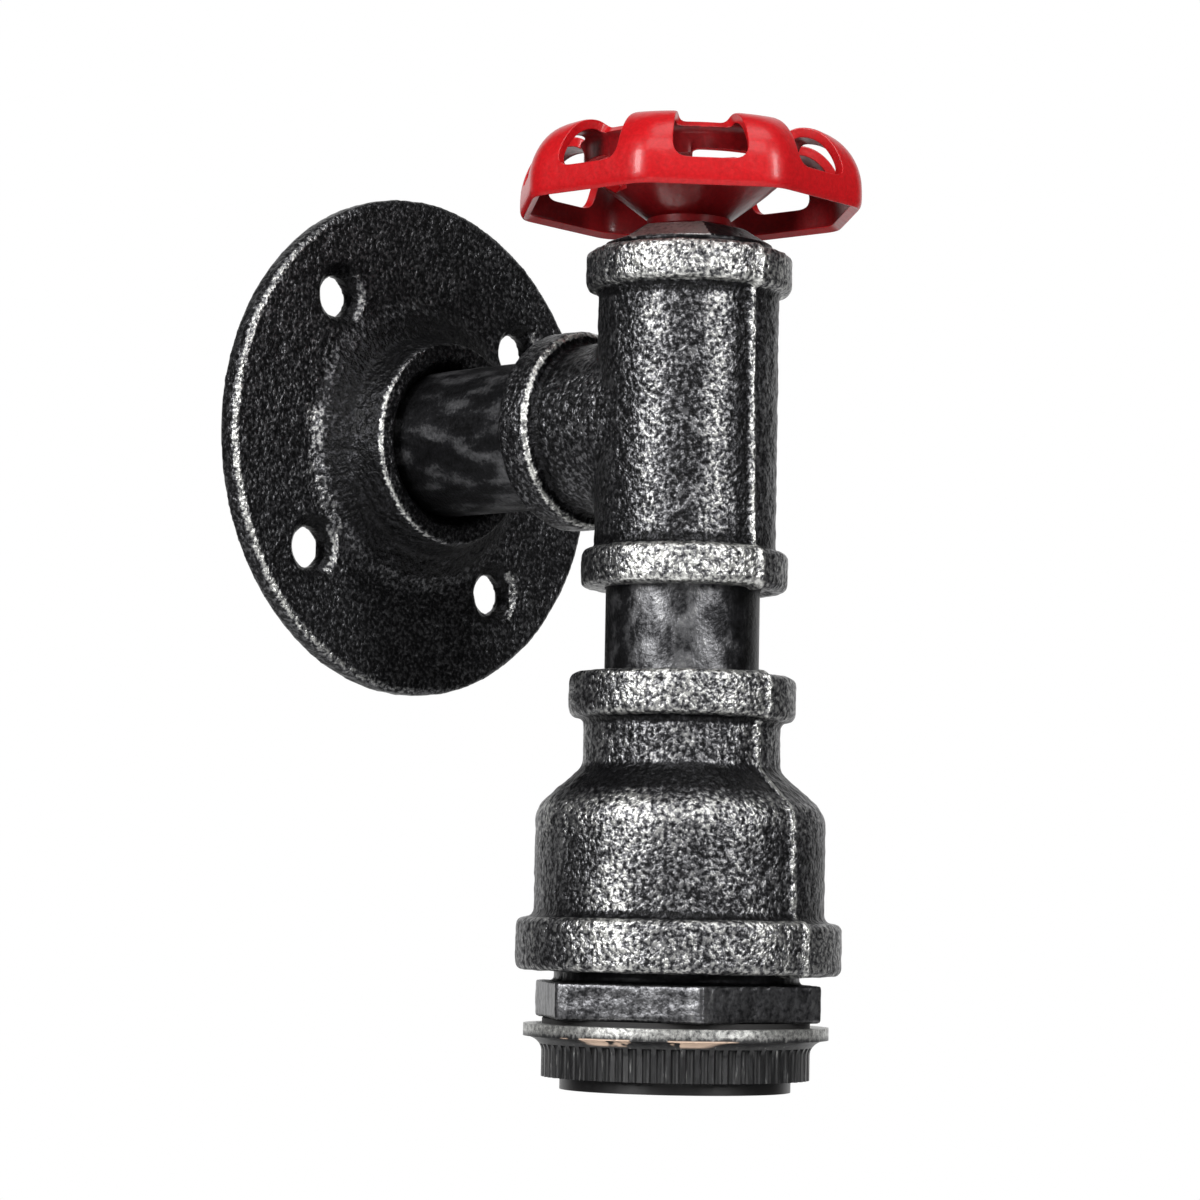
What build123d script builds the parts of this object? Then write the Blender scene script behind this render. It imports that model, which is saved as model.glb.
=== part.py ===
from build123d import *

import os
from math import cos, pi, radians, sqrt

# Industrial pipe wall light: a floor flange on the wall, a short pipe, a tee, a
# reducing socket that hangs below it with a lampholder inside, and a stamped
# handwheel on the plug that closes the top of the tee.
#
# Frame: the origin is the centre of the flange's back face. +Y goes into the
# wall, +Z is up, and the column of fittings stands in front of the wall.

# ---------------------------------------------------------------- driving sizes

# Pipe and its threads, drawn as plain cylinders on the thread's outer size.
pipe_radius = 13.35
pipe_wall = 2.9
thread_clearance = 0.05
thread_depth = 13.0
wall_to_column = 70.0

# Wall flange. Its hub is sized from the thread outwards.
flange_radius = 46.0
flange_plate = 4.0
flange_edge_round = 1.0
flange_height = 13.0
flange_thread_depth = 11.0
flange_thread_chamfer = 2.2
hub_rim_land = 2.9
hub_waist_proud = 2.0
hub_foot_proud = 6.5
hub_foot_height = 3.0
bolt_circle_radius = 33.0
bolt_count = 4
bolt_start_angle = 38.5
bolt_hole_radius = 3.7
countersink_radius = 5.7

# Tee. The walls are measured from its threads.
tee_half_run = 29.4
tee_branch_reach = 29.0
tee_neck_wall = 1.7
tee_body_wall = 2.1
tee_band_proud = 2.2
tee_band_height = 6.9
tee_bore_relief = 1.75
band_round = 1.4
tee_crotch_round = 2.5

# Plug that closes the top of the tee.
plug_shank_length = 13.0
plug_collar_proud = 1.35
plug_collar_height = 1.3
plug_hex_inset = 0.2
plug_hex_height = 2.9
plug_hex_slope = 55.0
plug_hex_angle = 56.0

# Handwheel, stamped from one steel sheet.
wheel_sheet = 1.4
wheel_gap = 0.1
wheel_hub_radius = 7.3
wheel_hub_thickness = 2.6
wheel_hub_side = 1.6
wheel_rim_radius = 30.7
wheel_rim_round = 6.0
wheel_rim_bottom = 2.6
wheel_rim_height = 4.7
wheel_crest_height = 16.6
wheel_arch_height = 10.8
wheel_inner_bend = 3.8
wheel_hoop_radius = 18.2
wheel_hoop_bottom = 10.8
wheel_hoop_top = 15.2
wheel_slot_count = 4
wheel_slot_angle = 63.0
wheel_slot_arc = 20.0
wheel_slot_width = 6.0
wheel_slot_margin = 0.2
finger_count = 8
finger_arc = 16.0
finger_angle = 26.5

# Bolt that carries the handwheel.
bolt_thread_radius = 3.0
bolt_shoulder_radius = 4.0
running_clearance = 0.06
axial_play = 0.15
bolt_head_flats = 10.0
bolt_head_height = 4.0
bolt_tip_length = 2.0
washer_edge_gap = 0.3
wheel_washer_thickness = 1.0
lock_nut_flats = 10.0
lock_nut_height = 5.0

# Drop pipe and reducing socket.
drop_pipe_showing = 14.6
socket_neck_wall = 3.4
socket_top_band_proud = 2.6
socket_top_band_height = 7.8
socket_shoulder_top = 16.3
socket_shoulder_bottom = 23.3
socket_body_wall = 3.6
socket_body_bottom = 42.2
socket_height = 51.2
socket_foot_band_proud = 3.05
socket_neck_round = 2.5
socket_shoulder_round = 5.5
socket_root_round = 1.2
socket_wall = 3.4
socket_ledge_height = 3.0
socket_ledge_step = 1.6
socket_thread_depth = 14.0
socket_thread_step = 0.9

# Hex bushing, 1 1/4 inch thread.
bushing_thread_radius = 21.1
bushing_thread_showing = 1.9
bushing_thread_spare = 1.0
bushing_hex_proud = 1.65
bushing_hex_height = 6.3
bushing_hex_angle = 51.3

# Lamp socket: shell, ceramic insert, contacts.
shell_bore_radius = 13.3
shell_sheet = 0.4
shell_length = 20.4
shell_inset = 2.3
shell_lip_reach = 1.4
ceramic_clearance = 0.1
ceramic_recess_radius = 12.0
ceramic_recess_depth = 7.0
ceramic_web = 5.0
insert_screw_radius = 1.25
insert_screw_head_radius = 2.3
insert_screw_head_height = 1.6
insert_screw_grip = 4.5
insert_screw_head_gap = 0.2
terminal_reach = 10.0
terminal_length = 5.0
terminal_width = 6.0
terminal_height = 5.0
strap_thickness = 0.6
strap_width = 4.0
strap_inset = 1.0
strap_slot_clearance = 0.1
foot_length = 2.8
tongue_thickness = 0.5
tongue_width = 5.0
tongue_gap = 0.2
tongue_tip_drop = 3.0
tongue_flat = 2.0
terminal_screw_radius = 1.2
terminal_screw_head_radius = 2.0
terminal_screw_head_height = 1.4
terminal_screw_depth = 2.0

# Lampholder body, cap and threaded skirt, sized from the shell outwards.
holder_surround = 3.8
holder_clearance = 0.1
holder_wall = 1.2
spigot_height = 6.0
spigot_wall = 1.2
skirt_proud = 2.3
skirt_length = 12.0
skirt_wall = 2.2
skirt_lip_gap = 0.7
skirt_lip_height = 1.6
cap_room = 3.6
cap_height = 14.0
cap_round = 3.0
cap_top_thickness = 1.5
cap_neck_wall = 1.8
cap_neck_height = 5.5
pillar_radius = 2.6
pillar_hole_spare = 0.5

# Hollow threaded rod, its nuts and the plate that the pipe end clamps.
rod_radius = 5.0
rod_wall = 1.0
rod_seat = 0.5
rod_above_nut = 1.0
rod_nut_height = 3.0
plate_thickness = 2.0
tag_ring_width = 2.4
tag_thickness = 0.8
tag_barrel_radius = 1.4
tag_barrel_height = 4.0
tag_width = 2.8
tag_nut_gap = 0.2
tag_pipe_gap = 0.45
grub_radius = 1.5
grub_clearance = 0.05

# Ring that clamps a shade, and its fibre washer.
ring_washer_thickness = 0.9
ring_clearance = 0.1
ring_height = 9.0
ring_wall = 3.1
ring_lip_proud = 3.2
ring_lip_height = 2.1
ring_flare_height = 2.6
ring_flute_count = 60
ring_flute_radius = 0.8
ring_flute_depth = 0.55

# Connector block in the mouth of the wall pipe. It rests in the pipe's bore.
block_back = 9.0
block_length = 12.0
block_height = 9.0
block_edge_round = 0.6
block_pipe_gap = 0.19
block_side_wall = 0.25
pole_gap = 1.1
barrel_side = 3.4
barrel_length = 8.0
barrel_clearance = 0.05
barrel_bore_clearance = 0.35
connector_screw_radius = 1.0
connector_screw_sink = 1.0
screw_contact_gap = 0.05
screw_slot_width = 0.5
screw_slot_depth = 0.5

# Leads.
lead_radius = 1.0
conductor_radius = 0.45
conductor_length = 2.5
lead_hole_clearance = 0.2
rod_lane = 1.6
bend_in_column = 16.0
bend_of_earth = 10.5
bend_in_branch = 60.0
bend_in_cap = 3.2
branch_turn_reach = 38.0

# How closely an edge's size or place must agree when it is picked.
pick_tolerance = 0.01

# --------------------------------------------------------------- derived places

pipe_bore_radius = pipe_radius - pipe_wall
socket_bore_radius = pipe_radius + thread_clearance

hub_rim_radius = socket_bore_radius + flange_thread_chamfer + hub_rim_land
hub_waist_radius = hub_rim_radius + hub_waist_proud
hub_foot_radius = hub_waist_radius + hub_foot_proud

tee_bore_radius = pipe_bore_radius + tee_bore_relief
tee_neck_radius = socket_bore_radius + tee_neck_wall
tee_body_radius = socket_bore_radius + tee_body_wall
tee_band_radius = tee_body_radius + tee_band_proud

branch_face = wall_to_column - tee_branch_reach
wall_pipe_back = flange_height - flange_thread_depth
wall_pipe_front = branch_face + thread_depth

plug_collar_radius = pipe_radius + plug_collar_proud
plug_hex_radius = plug_collar_radius - plug_hex_inset
plug_top = tee_half_run + plug_collar_height + plug_hex_height
wheel_base = plug_top + wheel_gap

socket_bore = bushing_thread_radius + thread_clearance
socket_neck_radius = socket_bore_radius + socket_neck_wall
socket_top_band_radius = socket_neck_radius + socket_top_band_proud
socket_body_radius = socket_bore + socket_body_wall
socket_foot_band_radius = socket_body_radius + socket_foot_band_proud
socket_top = -(tee_half_run + drop_pipe_showing)
socket_bottom = socket_top - socket_height
plate_bottom = socket_top - thread_depth
plate_top = plate_bottom + plate_thickness
drop_pipe_top = -(tee_half_run - thread_depth)
ledge_bottom = plate_bottom - socket_ledge_height

bushing_top = socket_bottom - bushing_thread_showing
bushing_bottom = bushing_top - bushing_hex_height
bushing_shank_top = socket_bottom + socket_thread_depth - bushing_thread_spare
bushing_hex_flats = 2 * (bushing_thread_radius + bushing_hex_proud)

shell_radius = shell_bore_radius + shell_sheet
holder_radius = shell_radius + holder_surround
skirt_radius = holder_radius + skirt_proud
skirt_bore_radius = skirt_radius - skirt_wall
skirt_lip_radius = shell_radius + skirt_lip_gap
skirt_bottom = bushing_bottom - skirt_length
cap_bore_radius = holder_radius - holder_wall
spigot_radius = cap_bore_radius - thread_clearance
spigot_bore_radius = spigot_radius - spigot_wall

shell_bottom = skirt_bottom + shell_inset
shell_top = shell_bottom + shell_length
shell_lip_radius = shell_radius - shell_lip_reach
ceramic_radius = spigot_bore_radius - ceramic_clearance
recess_ceiling = shell_top + ceramic_recess_depth
ceramic_top = recess_ceiling + ceramic_web
terminal_top = ceramic_top + terminal_height
terminal_wire_height = ceramic_top + terminal_height / 2
pillar_reach = ceramic_recess_radius - insert_screw_head_radius - insert_screw_head_gap

cap_ceiling = terminal_top + cap_room
cap_top = cap_ceiling + cap_top_thickness
cap_bottom = cap_top - cap_height
cap_neck_top = cap_top + cap_neck_height
cap_neck_radius = rod_radius + cap_neck_wall

tag_top = plate_top + tag_thickness
tag_radius = rod_radius + tag_ring_width
tag_reach = pipe_bore_radius - tag_pipe_gap - tag_barrel_radius
rod_nut_flats = 2 * (tag_reach - tag_barrel_radius - tag_nut_gap)
rod_bore_radius = rod_radius - rod_wall
rod_top = tag_top + rod_nut_height + rod_above_nut
rod_bottom = cap_top - rod_seat
grub_length = cap_neck_radius - rod_radius - 2 * grub_clearance

ring_top = bushing_bottom - ring_washer_thickness
ring_bottom = ring_top - ring_height
ring_bore_radius = skirt_radius + ring_clearance
ring_body_radius = ring_bore_radius + ring_wall
ring_lip_radius = ring_body_radius + ring_lip_proud
lip_bottom = ring_top - ring_lip_height

pole_pitch = barrel_side + pole_gap
pole_places = [-pole_pitch, 0.0, pole_pitch]
block_width = 3 * pole_pitch + 2 * block_side_wall
block_front = block_back + block_length
block_bottom = -sqrt((pipe_bore_radius - block_pipe_gap) ** 2 - (block_width / 2) ** 2)
block_top = block_bottom + block_height
pole_height = block_bottom + block_height / 2
barrel_back = block_back + (block_length - barrel_length) / 2
barrel_front = barrel_back + barrel_length

column_point = (0, -wall_to_column, 0)
column_axis = Axis(column_point, (0, 0, 1))
column_section = Plane(origin=column_point, x_dir=(1, 0, 0), z_dir=(0, -1, 0))
branch_section = Plane(origin=(0, 0, 0), x_dir=(1, 0, 0), z_dir=(0, 0, -1))
wall_face = Plane(origin=(0, 0, 0), x_dir=(1, 0, 0), z_dir=(0, -1, 0))


def column_level(height, turn=0.0):
    """Level plane across the column at a height, turned about the column."""
    level = Plane(origin=(0, -wall_to_column, height), x_dir=(1, 0, 0), z_dir=(0, 0, 1))
    return level.rotated((0, 0, turn))


def hex_radius(across_flats):
    """Corner radius of a hexagon with this size across its flats."""
    return across_flats / 2 / cos(radians(30))


os.makedirs("parts", exist_ok=True)


def save(piece, label):
    """Label a finished piece and write it under its own name."""
    piece.part.label = label
    export_step(piece.part, f"parts/{label}.step")


# ------------------------------------------------------------------ wall flange

# Cast plate with a conical hub, four countersunk holes and a threaded bore. Its
# outline is drawn as radius against distance from the wall.
with BuildPart() as wall_flange:
    with BuildSketch(branch_section):
        with BuildLine():
            Polyline(
                (socket_bore_radius, 0),
                (flange_radius, 0),
                (flange_radius, flange_plate),
                (hub_foot_radius, flange_plate),
                (hub_waist_radius, flange_plate + hub_foot_height),
                (hub_rim_radius, flange_height),
                (socket_bore_radius + flange_thread_chamfer, flange_height),
                (socket_bore_radius, flange_height - flange_thread_chamfer),
                close=True,
            )
        make_face()
        plate_edge = vertices().group_by(Axis.X)[-1]
        fillet(plate_edge, flange_edge_round)
    revolve(axis=Axis.Y)
    with Locations(wall_face.offset(flange_plate)):
        with PolarLocations(bolt_circle_radius, bolt_count, start_angle=bolt_start_angle):
            CounterSinkHole(bolt_hole_radius, countersink_radius, counter_sink_angle=90)

save(wall_flange, "wall_flange")

# ------------------------------------------------------------------- wall pipe

# Pipe nipple from the flange into the tee's branch.
with BuildPart() as wall_nipple:
    with BuildSketch(wall_face.offset(wall_pipe_back)):
        Circle(pipe_radius)
        Circle(pipe_bore_radius, mode=Mode.SUBTRACT)
    extrude(amount=wall_pipe_front - wall_pipe_back)

save(wall_nipple, "wall_nipple")

# ------------------------------------------------------------------------- tee

# Malleable iron tee: a run and a branch of near the same size, with a raised
# band round each of the three mouths.
with BuildPart() as pipe_tee:
    with BuildSketch(column_level(-tee_half_run)):
        Circle(tee_body_radius)
    extrude(amount=2 * tee_half_run)
    with BuildSketch(wall_face.offset(branch_face)):
        Circle(tee_neck_radius)
    extrude(amount=tee_branch_reach)
    crotch = [
        edge
        for edge in edges().filter_by(GeomType.CIRCLE, reverse=True)
        if edge.length > tee_neck_radius
        and edge.center().Y > -wall_to_column + pick_tolerance
    ]
    fillet(crotch, tee_crotch_round)
    for band_plane in (
        column_level(-tee_half_run),
        column_level(tee_half_run - tee_band_height),
        wall_face.offset(branch_face),
    ):
        with BuildSketch(band_plane):
            Circle(tee_band_radius)
        extrude(amount=tee_band_height)
    band_edges = [
        edge
        for edge in edges().filter_by(GeomType.CIRCLE)
        if abs(edge.radius - tee_band_radius) < pick_tolerance
    ]
    fillet(band_edges, band_round)
    with BuildSketch(column_level(-tee_half_run)):
        Circle(tee_bore_radius)
    extrude(amount=2 * tee_half_run, mode=Mode.SUBTRACT)
    with BuildSketch(wall_face.offset(branch_face)):
        Circle(tee_bore_radius)
    extrude(amount=tee_branch_reach, mode=Mode.SUBTRACT)
    for mouth_plane, inward in (
        (column_level(-tee_half_run), 1),
        (column_level(tee_half_run), -1),
        (wall_face.offset(branch_face), 1),
    ):
        with BuildSketch(mouth_plane):
            Circle(socket_bore_radius)
        extrude(amount=inward * thread_depth, mode=Mode.SUBTRACT)

save(pipe_tee, "pipe_tee")

# -------------------------------------------------------------------- top plug

# Threaded plug with a round collar and a low tapered hexagon, drilled for the
# bolt that carries the handwheel.
with BuildPart() as top_plug:
    with BuildSketch(column_level(tee_half_run - plug_shank_length)):
        Circle(pipe_radius)
    extrude(amount=plug_shank_length)
    with BuildSketch(column_level(tee_half_run)):
        Circle(plug_collar_radius)
    extrude(amount=plug_collar_height)
    with BuildSketch(column_level(tee_half_run + plug_collar_height, plug_hex_angle)):
        RegularPolygon(plug_hex_radius, 6)
    extrude(amount=plug_hex_height, taper=plug_hex_slope)
    with BuildSketch(column_level(tee_half_run - plug_shank_length)):
        Circle(bolt_thread_radius + running_clearance)
    extrude(amount=plug_top - tee_half_run + plug_shank_length, mode=Mode.SUBTRACT)

save(top_plug, "top_plug")

# ------------------------------------------------------------------- handwheel

# One stamped sheet: a flat hub, a cone up to a hoop, eight fingers that arch
# from the hoop over a crest and down to an eight-sided rim, and openings
# between them at the shoulder. Four long slots in the cone run under the hoop.
wheel_section = Plane(
    origin=(0, -wall_to_column, wheel_base), x_dir=(1, 0, 0), z_dir=(0, -1, 0)
)
half_step = 180 / finger_count
rim_corner_radius = wheel_rim_radius + wheel_rim_round * (1 / cos(radians(half_step)) - 1)
hoop_bore_radius = wheel_hoop_radius - wheel_sheet
slot_reach = wheel_hoop_radius + wheel_slot_margin - wheel_slot_width / 2
wheel_crest_radius = hoop_bore_radius + wheel_inner_bend
arch_width = wheel_rim_radius - wheel_crest_radius
arch_centre = (wheel_crest_radius, wheel_crest_height - wheel_arch_height)
bend_centre = (wheel_crest_radius, wheel_crest_height - wheel_inner_bend)

with BuildPart() as finger:
    with BuildSketch(wheel_section):
        with BuildLine():
            over = EllipticalCenterArc(
                arch_centre, arch_width, wheel_arch_height, start_angle=0, arc_size=90
            )
            under = EllipticalCenterArc(
                arch_centre,
                arch_width - wheel_sheet,
                wheel_arch_height - wheel_sheet,
                start_angle=0,
                arc_size=90,
            )
            over_bend = CenterArc(bend_centre, wheel_inner_bend, 90, 90)
            under_bend = CenterArc(bend_centre, wheel_inner_bend - wheel_sheet, 90, 90)
            Polyline(
                over @ 0,
                (wheel_rim_radius, wheel_rim_bottom),
                (wheel_rim_radius - wheel_sheet, wheel_rim_bottom),
                under @ 0,
            )
            Polyline(
                over_bend @ 1,
                (hoop_bore_radius, wheel_hoop_bottom),
                (wheel_hoop_radius, wheel_hoop_bottom),
                under_bend @ 1,
            )
        make_face()
    revolve(axis=column_axis, revolution_arc=finger_arc)
    with BuildSketch(column_level(wheel_base, finger_arc / 2)):
        RegularPolygon(rim_corner_radius, finger_count)
        fillet(vertices(), wheel_rim_round)
    extrude(amount=wheel_crest_height, mode=Mode.INTERSECT)

with BuildPart() as handwheel:
    with BuildSketch(column_level(wheel_base)):
        Circle(wheel_hub_radius)
    extrude(amount=wheel_hub_thickness)
    with BuildSketch(wheel_section):
        with BuildLine():
            Polyline(
                (wheel_hub_radius - wheel_sheet, wheel_hub_side),
                (wheel_hub_radius, wheel_hub_side),
                (wheel_hoop_radius, wheel_hoop_bottom - wheel_sheet),
                (wheel_hoop_radius, wheel_hoop_top),
                (hoop_bore_radius, wheel_hoop_top),
                (hoop_bore_radius, wheel_hoop_bottom),
                (wheel_hub_radius - wheel_sheet, wheel_hub_thickness),
                close=True,
            )
        make_face()
    revolve(axis=column_axis)
    with BuildSketch(column_level(wheel_base, wheel_slot_angle)):
        with PolarLocations(0, wheel_slot_count):
            SlotArc(
                CenterArc((0, 0), slot_reach, -wheel_slot_arc / 2, wheel_slot_arc), wheel_slot_width
            )
    extrude(amount=wheel_hoop_bottom, mode=Mode.SUBTRACT)
    with BuildSketch(column_level(wheel_base + wheel_rim_bottom, finger_angle)):
        RegularPolygon(rim_corner_radius, finger_count)
        fillet(vertices(), wheel_rim_round)
        offset(amount=-wheel_sheet, mode=Mode.SUBTRACT)
    extrude(amount=wheel_rim_height)
    for step in range(finger_count):
        turn = finger_angle - finger_arc / 2 + step * 360 / finger_count
        add(finger.part.rotate(column_axis, turn))
    with BuildSketch(column_level(wheel_base)):
        Circle(bolt_shoulder_radius + running_clearance)
    extrude(amount=wheel_hub_thickness, mode=Mode.SUBTRACT)

save(handwheel, "handwheel")

# ------------------------------------------------------------ handwheel's bolt

# Shoulder bolt: the wheel turns on the shoulder, which stands on the plug, and
# the thread goes through the plug to a lock nut inside the tee.
shoulder_height = wheel_gap + wheel_hub_thickness + wheel_washer_thickness + axial_play
bolt_head_base = plug_top + shoulder_height
lock_nut_top = tee_half_run - plug_shank_length
bolt_end = lock_nut_top - lock_nut_height - bolt_tip_length
wheel_washer_radius = wheel_hub_radius - wheel_sheet - washer_edge_gap

with BuildPart() as wheel_bolt:
    with BuildSketch(column_level(bolt_end)):
        Circle(bolt_thread_radius)
    extrude(amount=plug_top - bolt_end)
    with BuildSketch(column_level(plug_top)):
        Circle(bolt_shoulder_radius)
    extrude(amount=shoulder_height)
    with BuildSketch(column_level(bolt_head_base)):
        RegularPolygon(hex_radius(bolt_head_flats), 6)
    extrude(amount=bolt_head_height)

save(wheel_bolt, "wheel_bolt")

with BuildPart() as wheel_washer:
    with BuildSketch(column_level(bolt_head_base - wheel_washer_thickness)):
        Circle(wheel_washer_radius)
        Circle(bolt_shoulder_radius + running_clearance, mode=Mode.SUBTRACT)
    extrude(amount=wheel_washer_thickness)

save(wheel_washer, "wheel_washer")

with BuildPart() as wheel_lock_nut:
    with BuildSketch(column_level(lock_nut_top - lock_nut_height)):
        RegularPolygon(hex_radius(lock_nut_flats), 6)
        Circle(bolt_thread_radius + thread_clearance, mode=Mode.SUBTRACT)
    extrude(amount=lock_nut_height)

save(wheel_lock_nut, "wheel_lock_nut")

# ------------------------------------------------------------------- drop pipe

with BuildPart() as drop_nipple:
    with BuildSketch(column_level(plate_top)):
        Circle(pipe_radius)
        Circle(pipe_bore_radius, mode=Mode.SUBTRACT)
    extrude(amount=drop_pipe_top - plate_top)

save(drop_nipple, "drop_nipple")

# -------------------------------------------------------------- reducing socket

# Bell-shaped casting from the drop pipe's thread to the bushing's. Its cavity
# follows the outside at one wall thickness, below a ledge that the pipe end
# clamps the mounting plate against.
shoulder_slope = (socket_shoulder_bottom - socket_shoulder_top) / (
    socket_body_radius - socket_neck_radius
)
slant_wall = socket_wall * sqrt(1 + shoulder_slope**2)
cavity_radius = bushing_thread_radius - socket_thread_step
cavity_shoulder_bottom = (
    socket_shoulder_top + slant_wall + shoulder_slope * (cavity_radius - socket_neck_radius)
)
cavity_mouth_radius = pipe_bore_radius + socket_ledge_step
cavity_shoulder_top = (
    socket_shoulder_top
    + slant_wall
    + shoulder_slope * (cavity_mouth_radius - socket_neck_radius)
)

with BuildPart() as reducing_socket:
    with BuildSketch(column_section):
        with BuildLine():
            Polyline(
                (socket_bore_radius, socket_top),
                (socket_top_band_radius, socket_top),
                (socket_top_band_radius, socket_top - socket_top_band_height),
                (socket_neck_radius, socket_top - socket_top_band_height),
                (socket_neck_radius, socket_top - socket_shoulder_top),
                (socket_body_radius, socket_top - socket_shoulder_bottom),
                (socket_body_radius, socket_top - socket_body_bottom),
                (socket_foot_band_radius, socket_top - socket_body_bottom),
                (socket_foot_band_radius, socket_bottom),
                (socket_bore, socket_bottom),
                (socket_bore, socket_bottom + socket_thread_depth),
                (cavity_radius, socket_bottom + socket_thread_depth),
                (cavity_radius, socket_top - cavity_shoulder_bottom),
                (cavity_mouth_radius, socket_top - cavity_shoulder_top),
                (cavity_mouth_radius, ledge_bottom),
                (pipe_bore_radius, ledge_bottom),
                (pipe_bore_radius, plate_bottom),
                (socket_bore_radius, plate_bottom),
                close=True,
            )
        make_face()
    revolve(axis=column_axis)
    rounds = (
        (socket_top_band_radius, socket_top, band_round),
        (socket_top_band_radius, socket_top - socket_top_band_height, band_round),
        (socket_neck_radius, socket_top - socket_shoulder_top, socket_neck_round),
        (socket_body_radius, socket_top - socket_shoulder_bottom, socket_shoulder_round),
        (socket_body_radius, socket_top - socket_body_bottom, socket_root_round),
        (socket_foot_band_radius, socket_top - socket_body_bottom, band_round),
        (socket_foot_band_radius, socket_bottom, band_round),
    )
    for radius, height, size in rounds:
        corner = [
            edge
            for edge in edges().filter_by(GeomType.CIRCLE)
            if abs(edge.radius - radius) < pick_tolerance
            and abs(edge.center().Z - height) < pick_tolerance
        ]
        fillet(corner, size)

save(reducing_socket, "reducing_socket")

# ----------------------------------------------------------------- hex bushing

# Hexagon with a threaded shank that goes up into the reducing socket, bored
# through for the lampholder.
with BuildPart() as hex_bushing:
    with BuildSketch(column_level(bushing_bottom, bushing_hex_angle)):
        RegularPolygon(hex_radius(bushing_hex_flats), 6)
    extrude(amount=bushing_hex_height)
    with BuildSketch(column_level(bushing_top)):
        Circle(bushing_thread_radius)
    extrude(amount=bushing_shank_top - bushing_top)
    with BuildSketch(column_level(bushing_bottom)):
        Circle(holder_radius + holder_clearance)
    extrude(amount=bushing_shank_top - bushing_bottom, mode=Mode.SUBTRACT)

save(hex_bushing, "hex_bushing")

# --------------------------------------------------------- lampholder housing

# Body with the threaded skirt that the shade ring runs on. Its shoulder bears on
# the bushing, and its spigot goes up into the cap.
with BuildPart() as holder_body:
    with BuildSketch(column_section):
        with BuildLine():
            Polyline(
                (skirt_lip_radius, skirt_bottom),
                (skirt_radius, skirt_bottom),
                (skirt_radius, bushing_bottom),
                (holder_radius, bushing_bottom),
                (holder_radius, cap_bottom),
                (spigot_radius, cap_bottom),
                (spigot_radius, cap_bottom + spigot_height),
                (spigot_bore_radius, cap_bottom + spigot_height),
                (spigot_bore_radius, bushing_bottom - skirt_wall),
                (skirt_bore_radius, bushing_bottom - skirt_wall),
                (skirt_bore_radius, skirt_bottom + skirt_lip_height),
                (skirt_lip_radius, skirt_bottom + skirt_lip_height),
                close=True,
            )
        make_face()
    revolve(axis=column_axis)

save(holder_body, "holder_body")

# Cap: a cup over the spigot with a threaded neck for the hollow rod, a hole for
# the neck's grub screw, and two pillars inside that carry the ceramic insert.
grub_height = cap_top + cap_neck_height / 2
with BuildPart() as holder_cap:
    with BuildSketch(column_level(cap_bottom)):
        Circle(holder_radius)
    extrude(amount=cap_height)
    cap_edge = edges().filter_by(GeomType.CIRCLE).sort_by(Axis.Z)[-1]
    fillet(cap_edge, cap_round)
    with BuildSketch(column_level(cap_top)):
        Circle(cap_neck_radius)
    extrude(amount=cap_neck_height)
    with BuildSketch(column_level(cap_bottom)):
        Circle(cap_bore_radius)
    extrude(amount=cap_ceiling - cap_bottom, mode=Mode.SUBTRACT)
    with BuildSketch(column_level(ceramic_top)):
        for side in (-1, 1):
            with Locations((0, side * pillar_reach)):
                Circle(pillar_radius)
    extrude(amount=cap_ceiling - ceramic_top)
    with BuildSketch(column_level(ceramic_top)):
        for side in (-1, 1):
            with Locations((0, side * pillar_reach)):
                Circle(insert_screw_radius + thread_clearance)
    extrude(amount=insert_screw_grip + pillar_hole_spare, mode=Mode.SUBTRACT)
    with BuildSketch(column_level(rod_bottom)):
        Circle(rod_radius + thread_clearance)
    extrude(amount=cap_neck_top - rod_bottom, mode=Mode.SUBTRACT)
    with BuildSketch(column_level(cap_ceiling)):
        Circle(rod_bore_radius)
    extrude(amount=rod_bottom - cap_ceiling, mode=Mode.SUBTRACT)
    with BuildSketch(Plane(origin=(0, -wall_to_column, grub_height), z_dir=(0, 1, 0))):
        Circle(grub_radius + thread_clearance)
    extrude(amount=cap_neck_radius, mode=Mode.SUBTRACT)

save(holder_cap, "holder_cap")

with BuildPart() as cap_grub_screw:
    grub_start = Plane(
        origin=(0, rod_radius + grub_clearance - wall_to_column, grub_height), z_dir=(0, 1, 0)
    )
    with BuildSketch(grub_start):
        Circle(grub_radius)
    extrude(amount=grub_length)
    with BuildSketch(grub_start.offset(grub_length - screw_slot_depth)):
        Rectangle(2 * grub_radius, screw_slot_width)
    extrude(amount=screw_slot_depth, mode=Mode.SUBTRACT)

save(cap_grub_screw, "cap_grub_screw")

# ------------------------------------------------- rod, plate, nuts and earth tag

with BuildPart() as hollow_rod:
    with BuildSketch(column_level(rod_bottom)):
        Circle(rod_radius)
        Circle(rod_bore_radius, mode=Mode.SUBTRACT)
    extrude(amount=rod_top - rod_bottom)

save(hollow_rod, "hollow_rod")

with BuildPart() as mounting_plate:
    with BuildSketch(column_level(plate_bottom)):
        Circle(pipe_radius)
        Circle(rod_radius + thread_clearance, mode=Mode.SUBTRACT)
    extrude(amount=plate_thickness)

save(mounting_plate, "mounting_plate")

with BuildPart() as rod_nuts:
    for nut_base in (tag_top, plate_bottom - rod_nut_height):
        with BuildSketch(column_level(nut_base)):
            RegularPolygon(hex_radius(rod_nut_flats), 6)
            Circle(rod_radius + thread_clearance, mode=Mode.SUBTRACT)
        extrude(amount=rod_nut_height)

save(rod_nuts, "rod_nuts")

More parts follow.
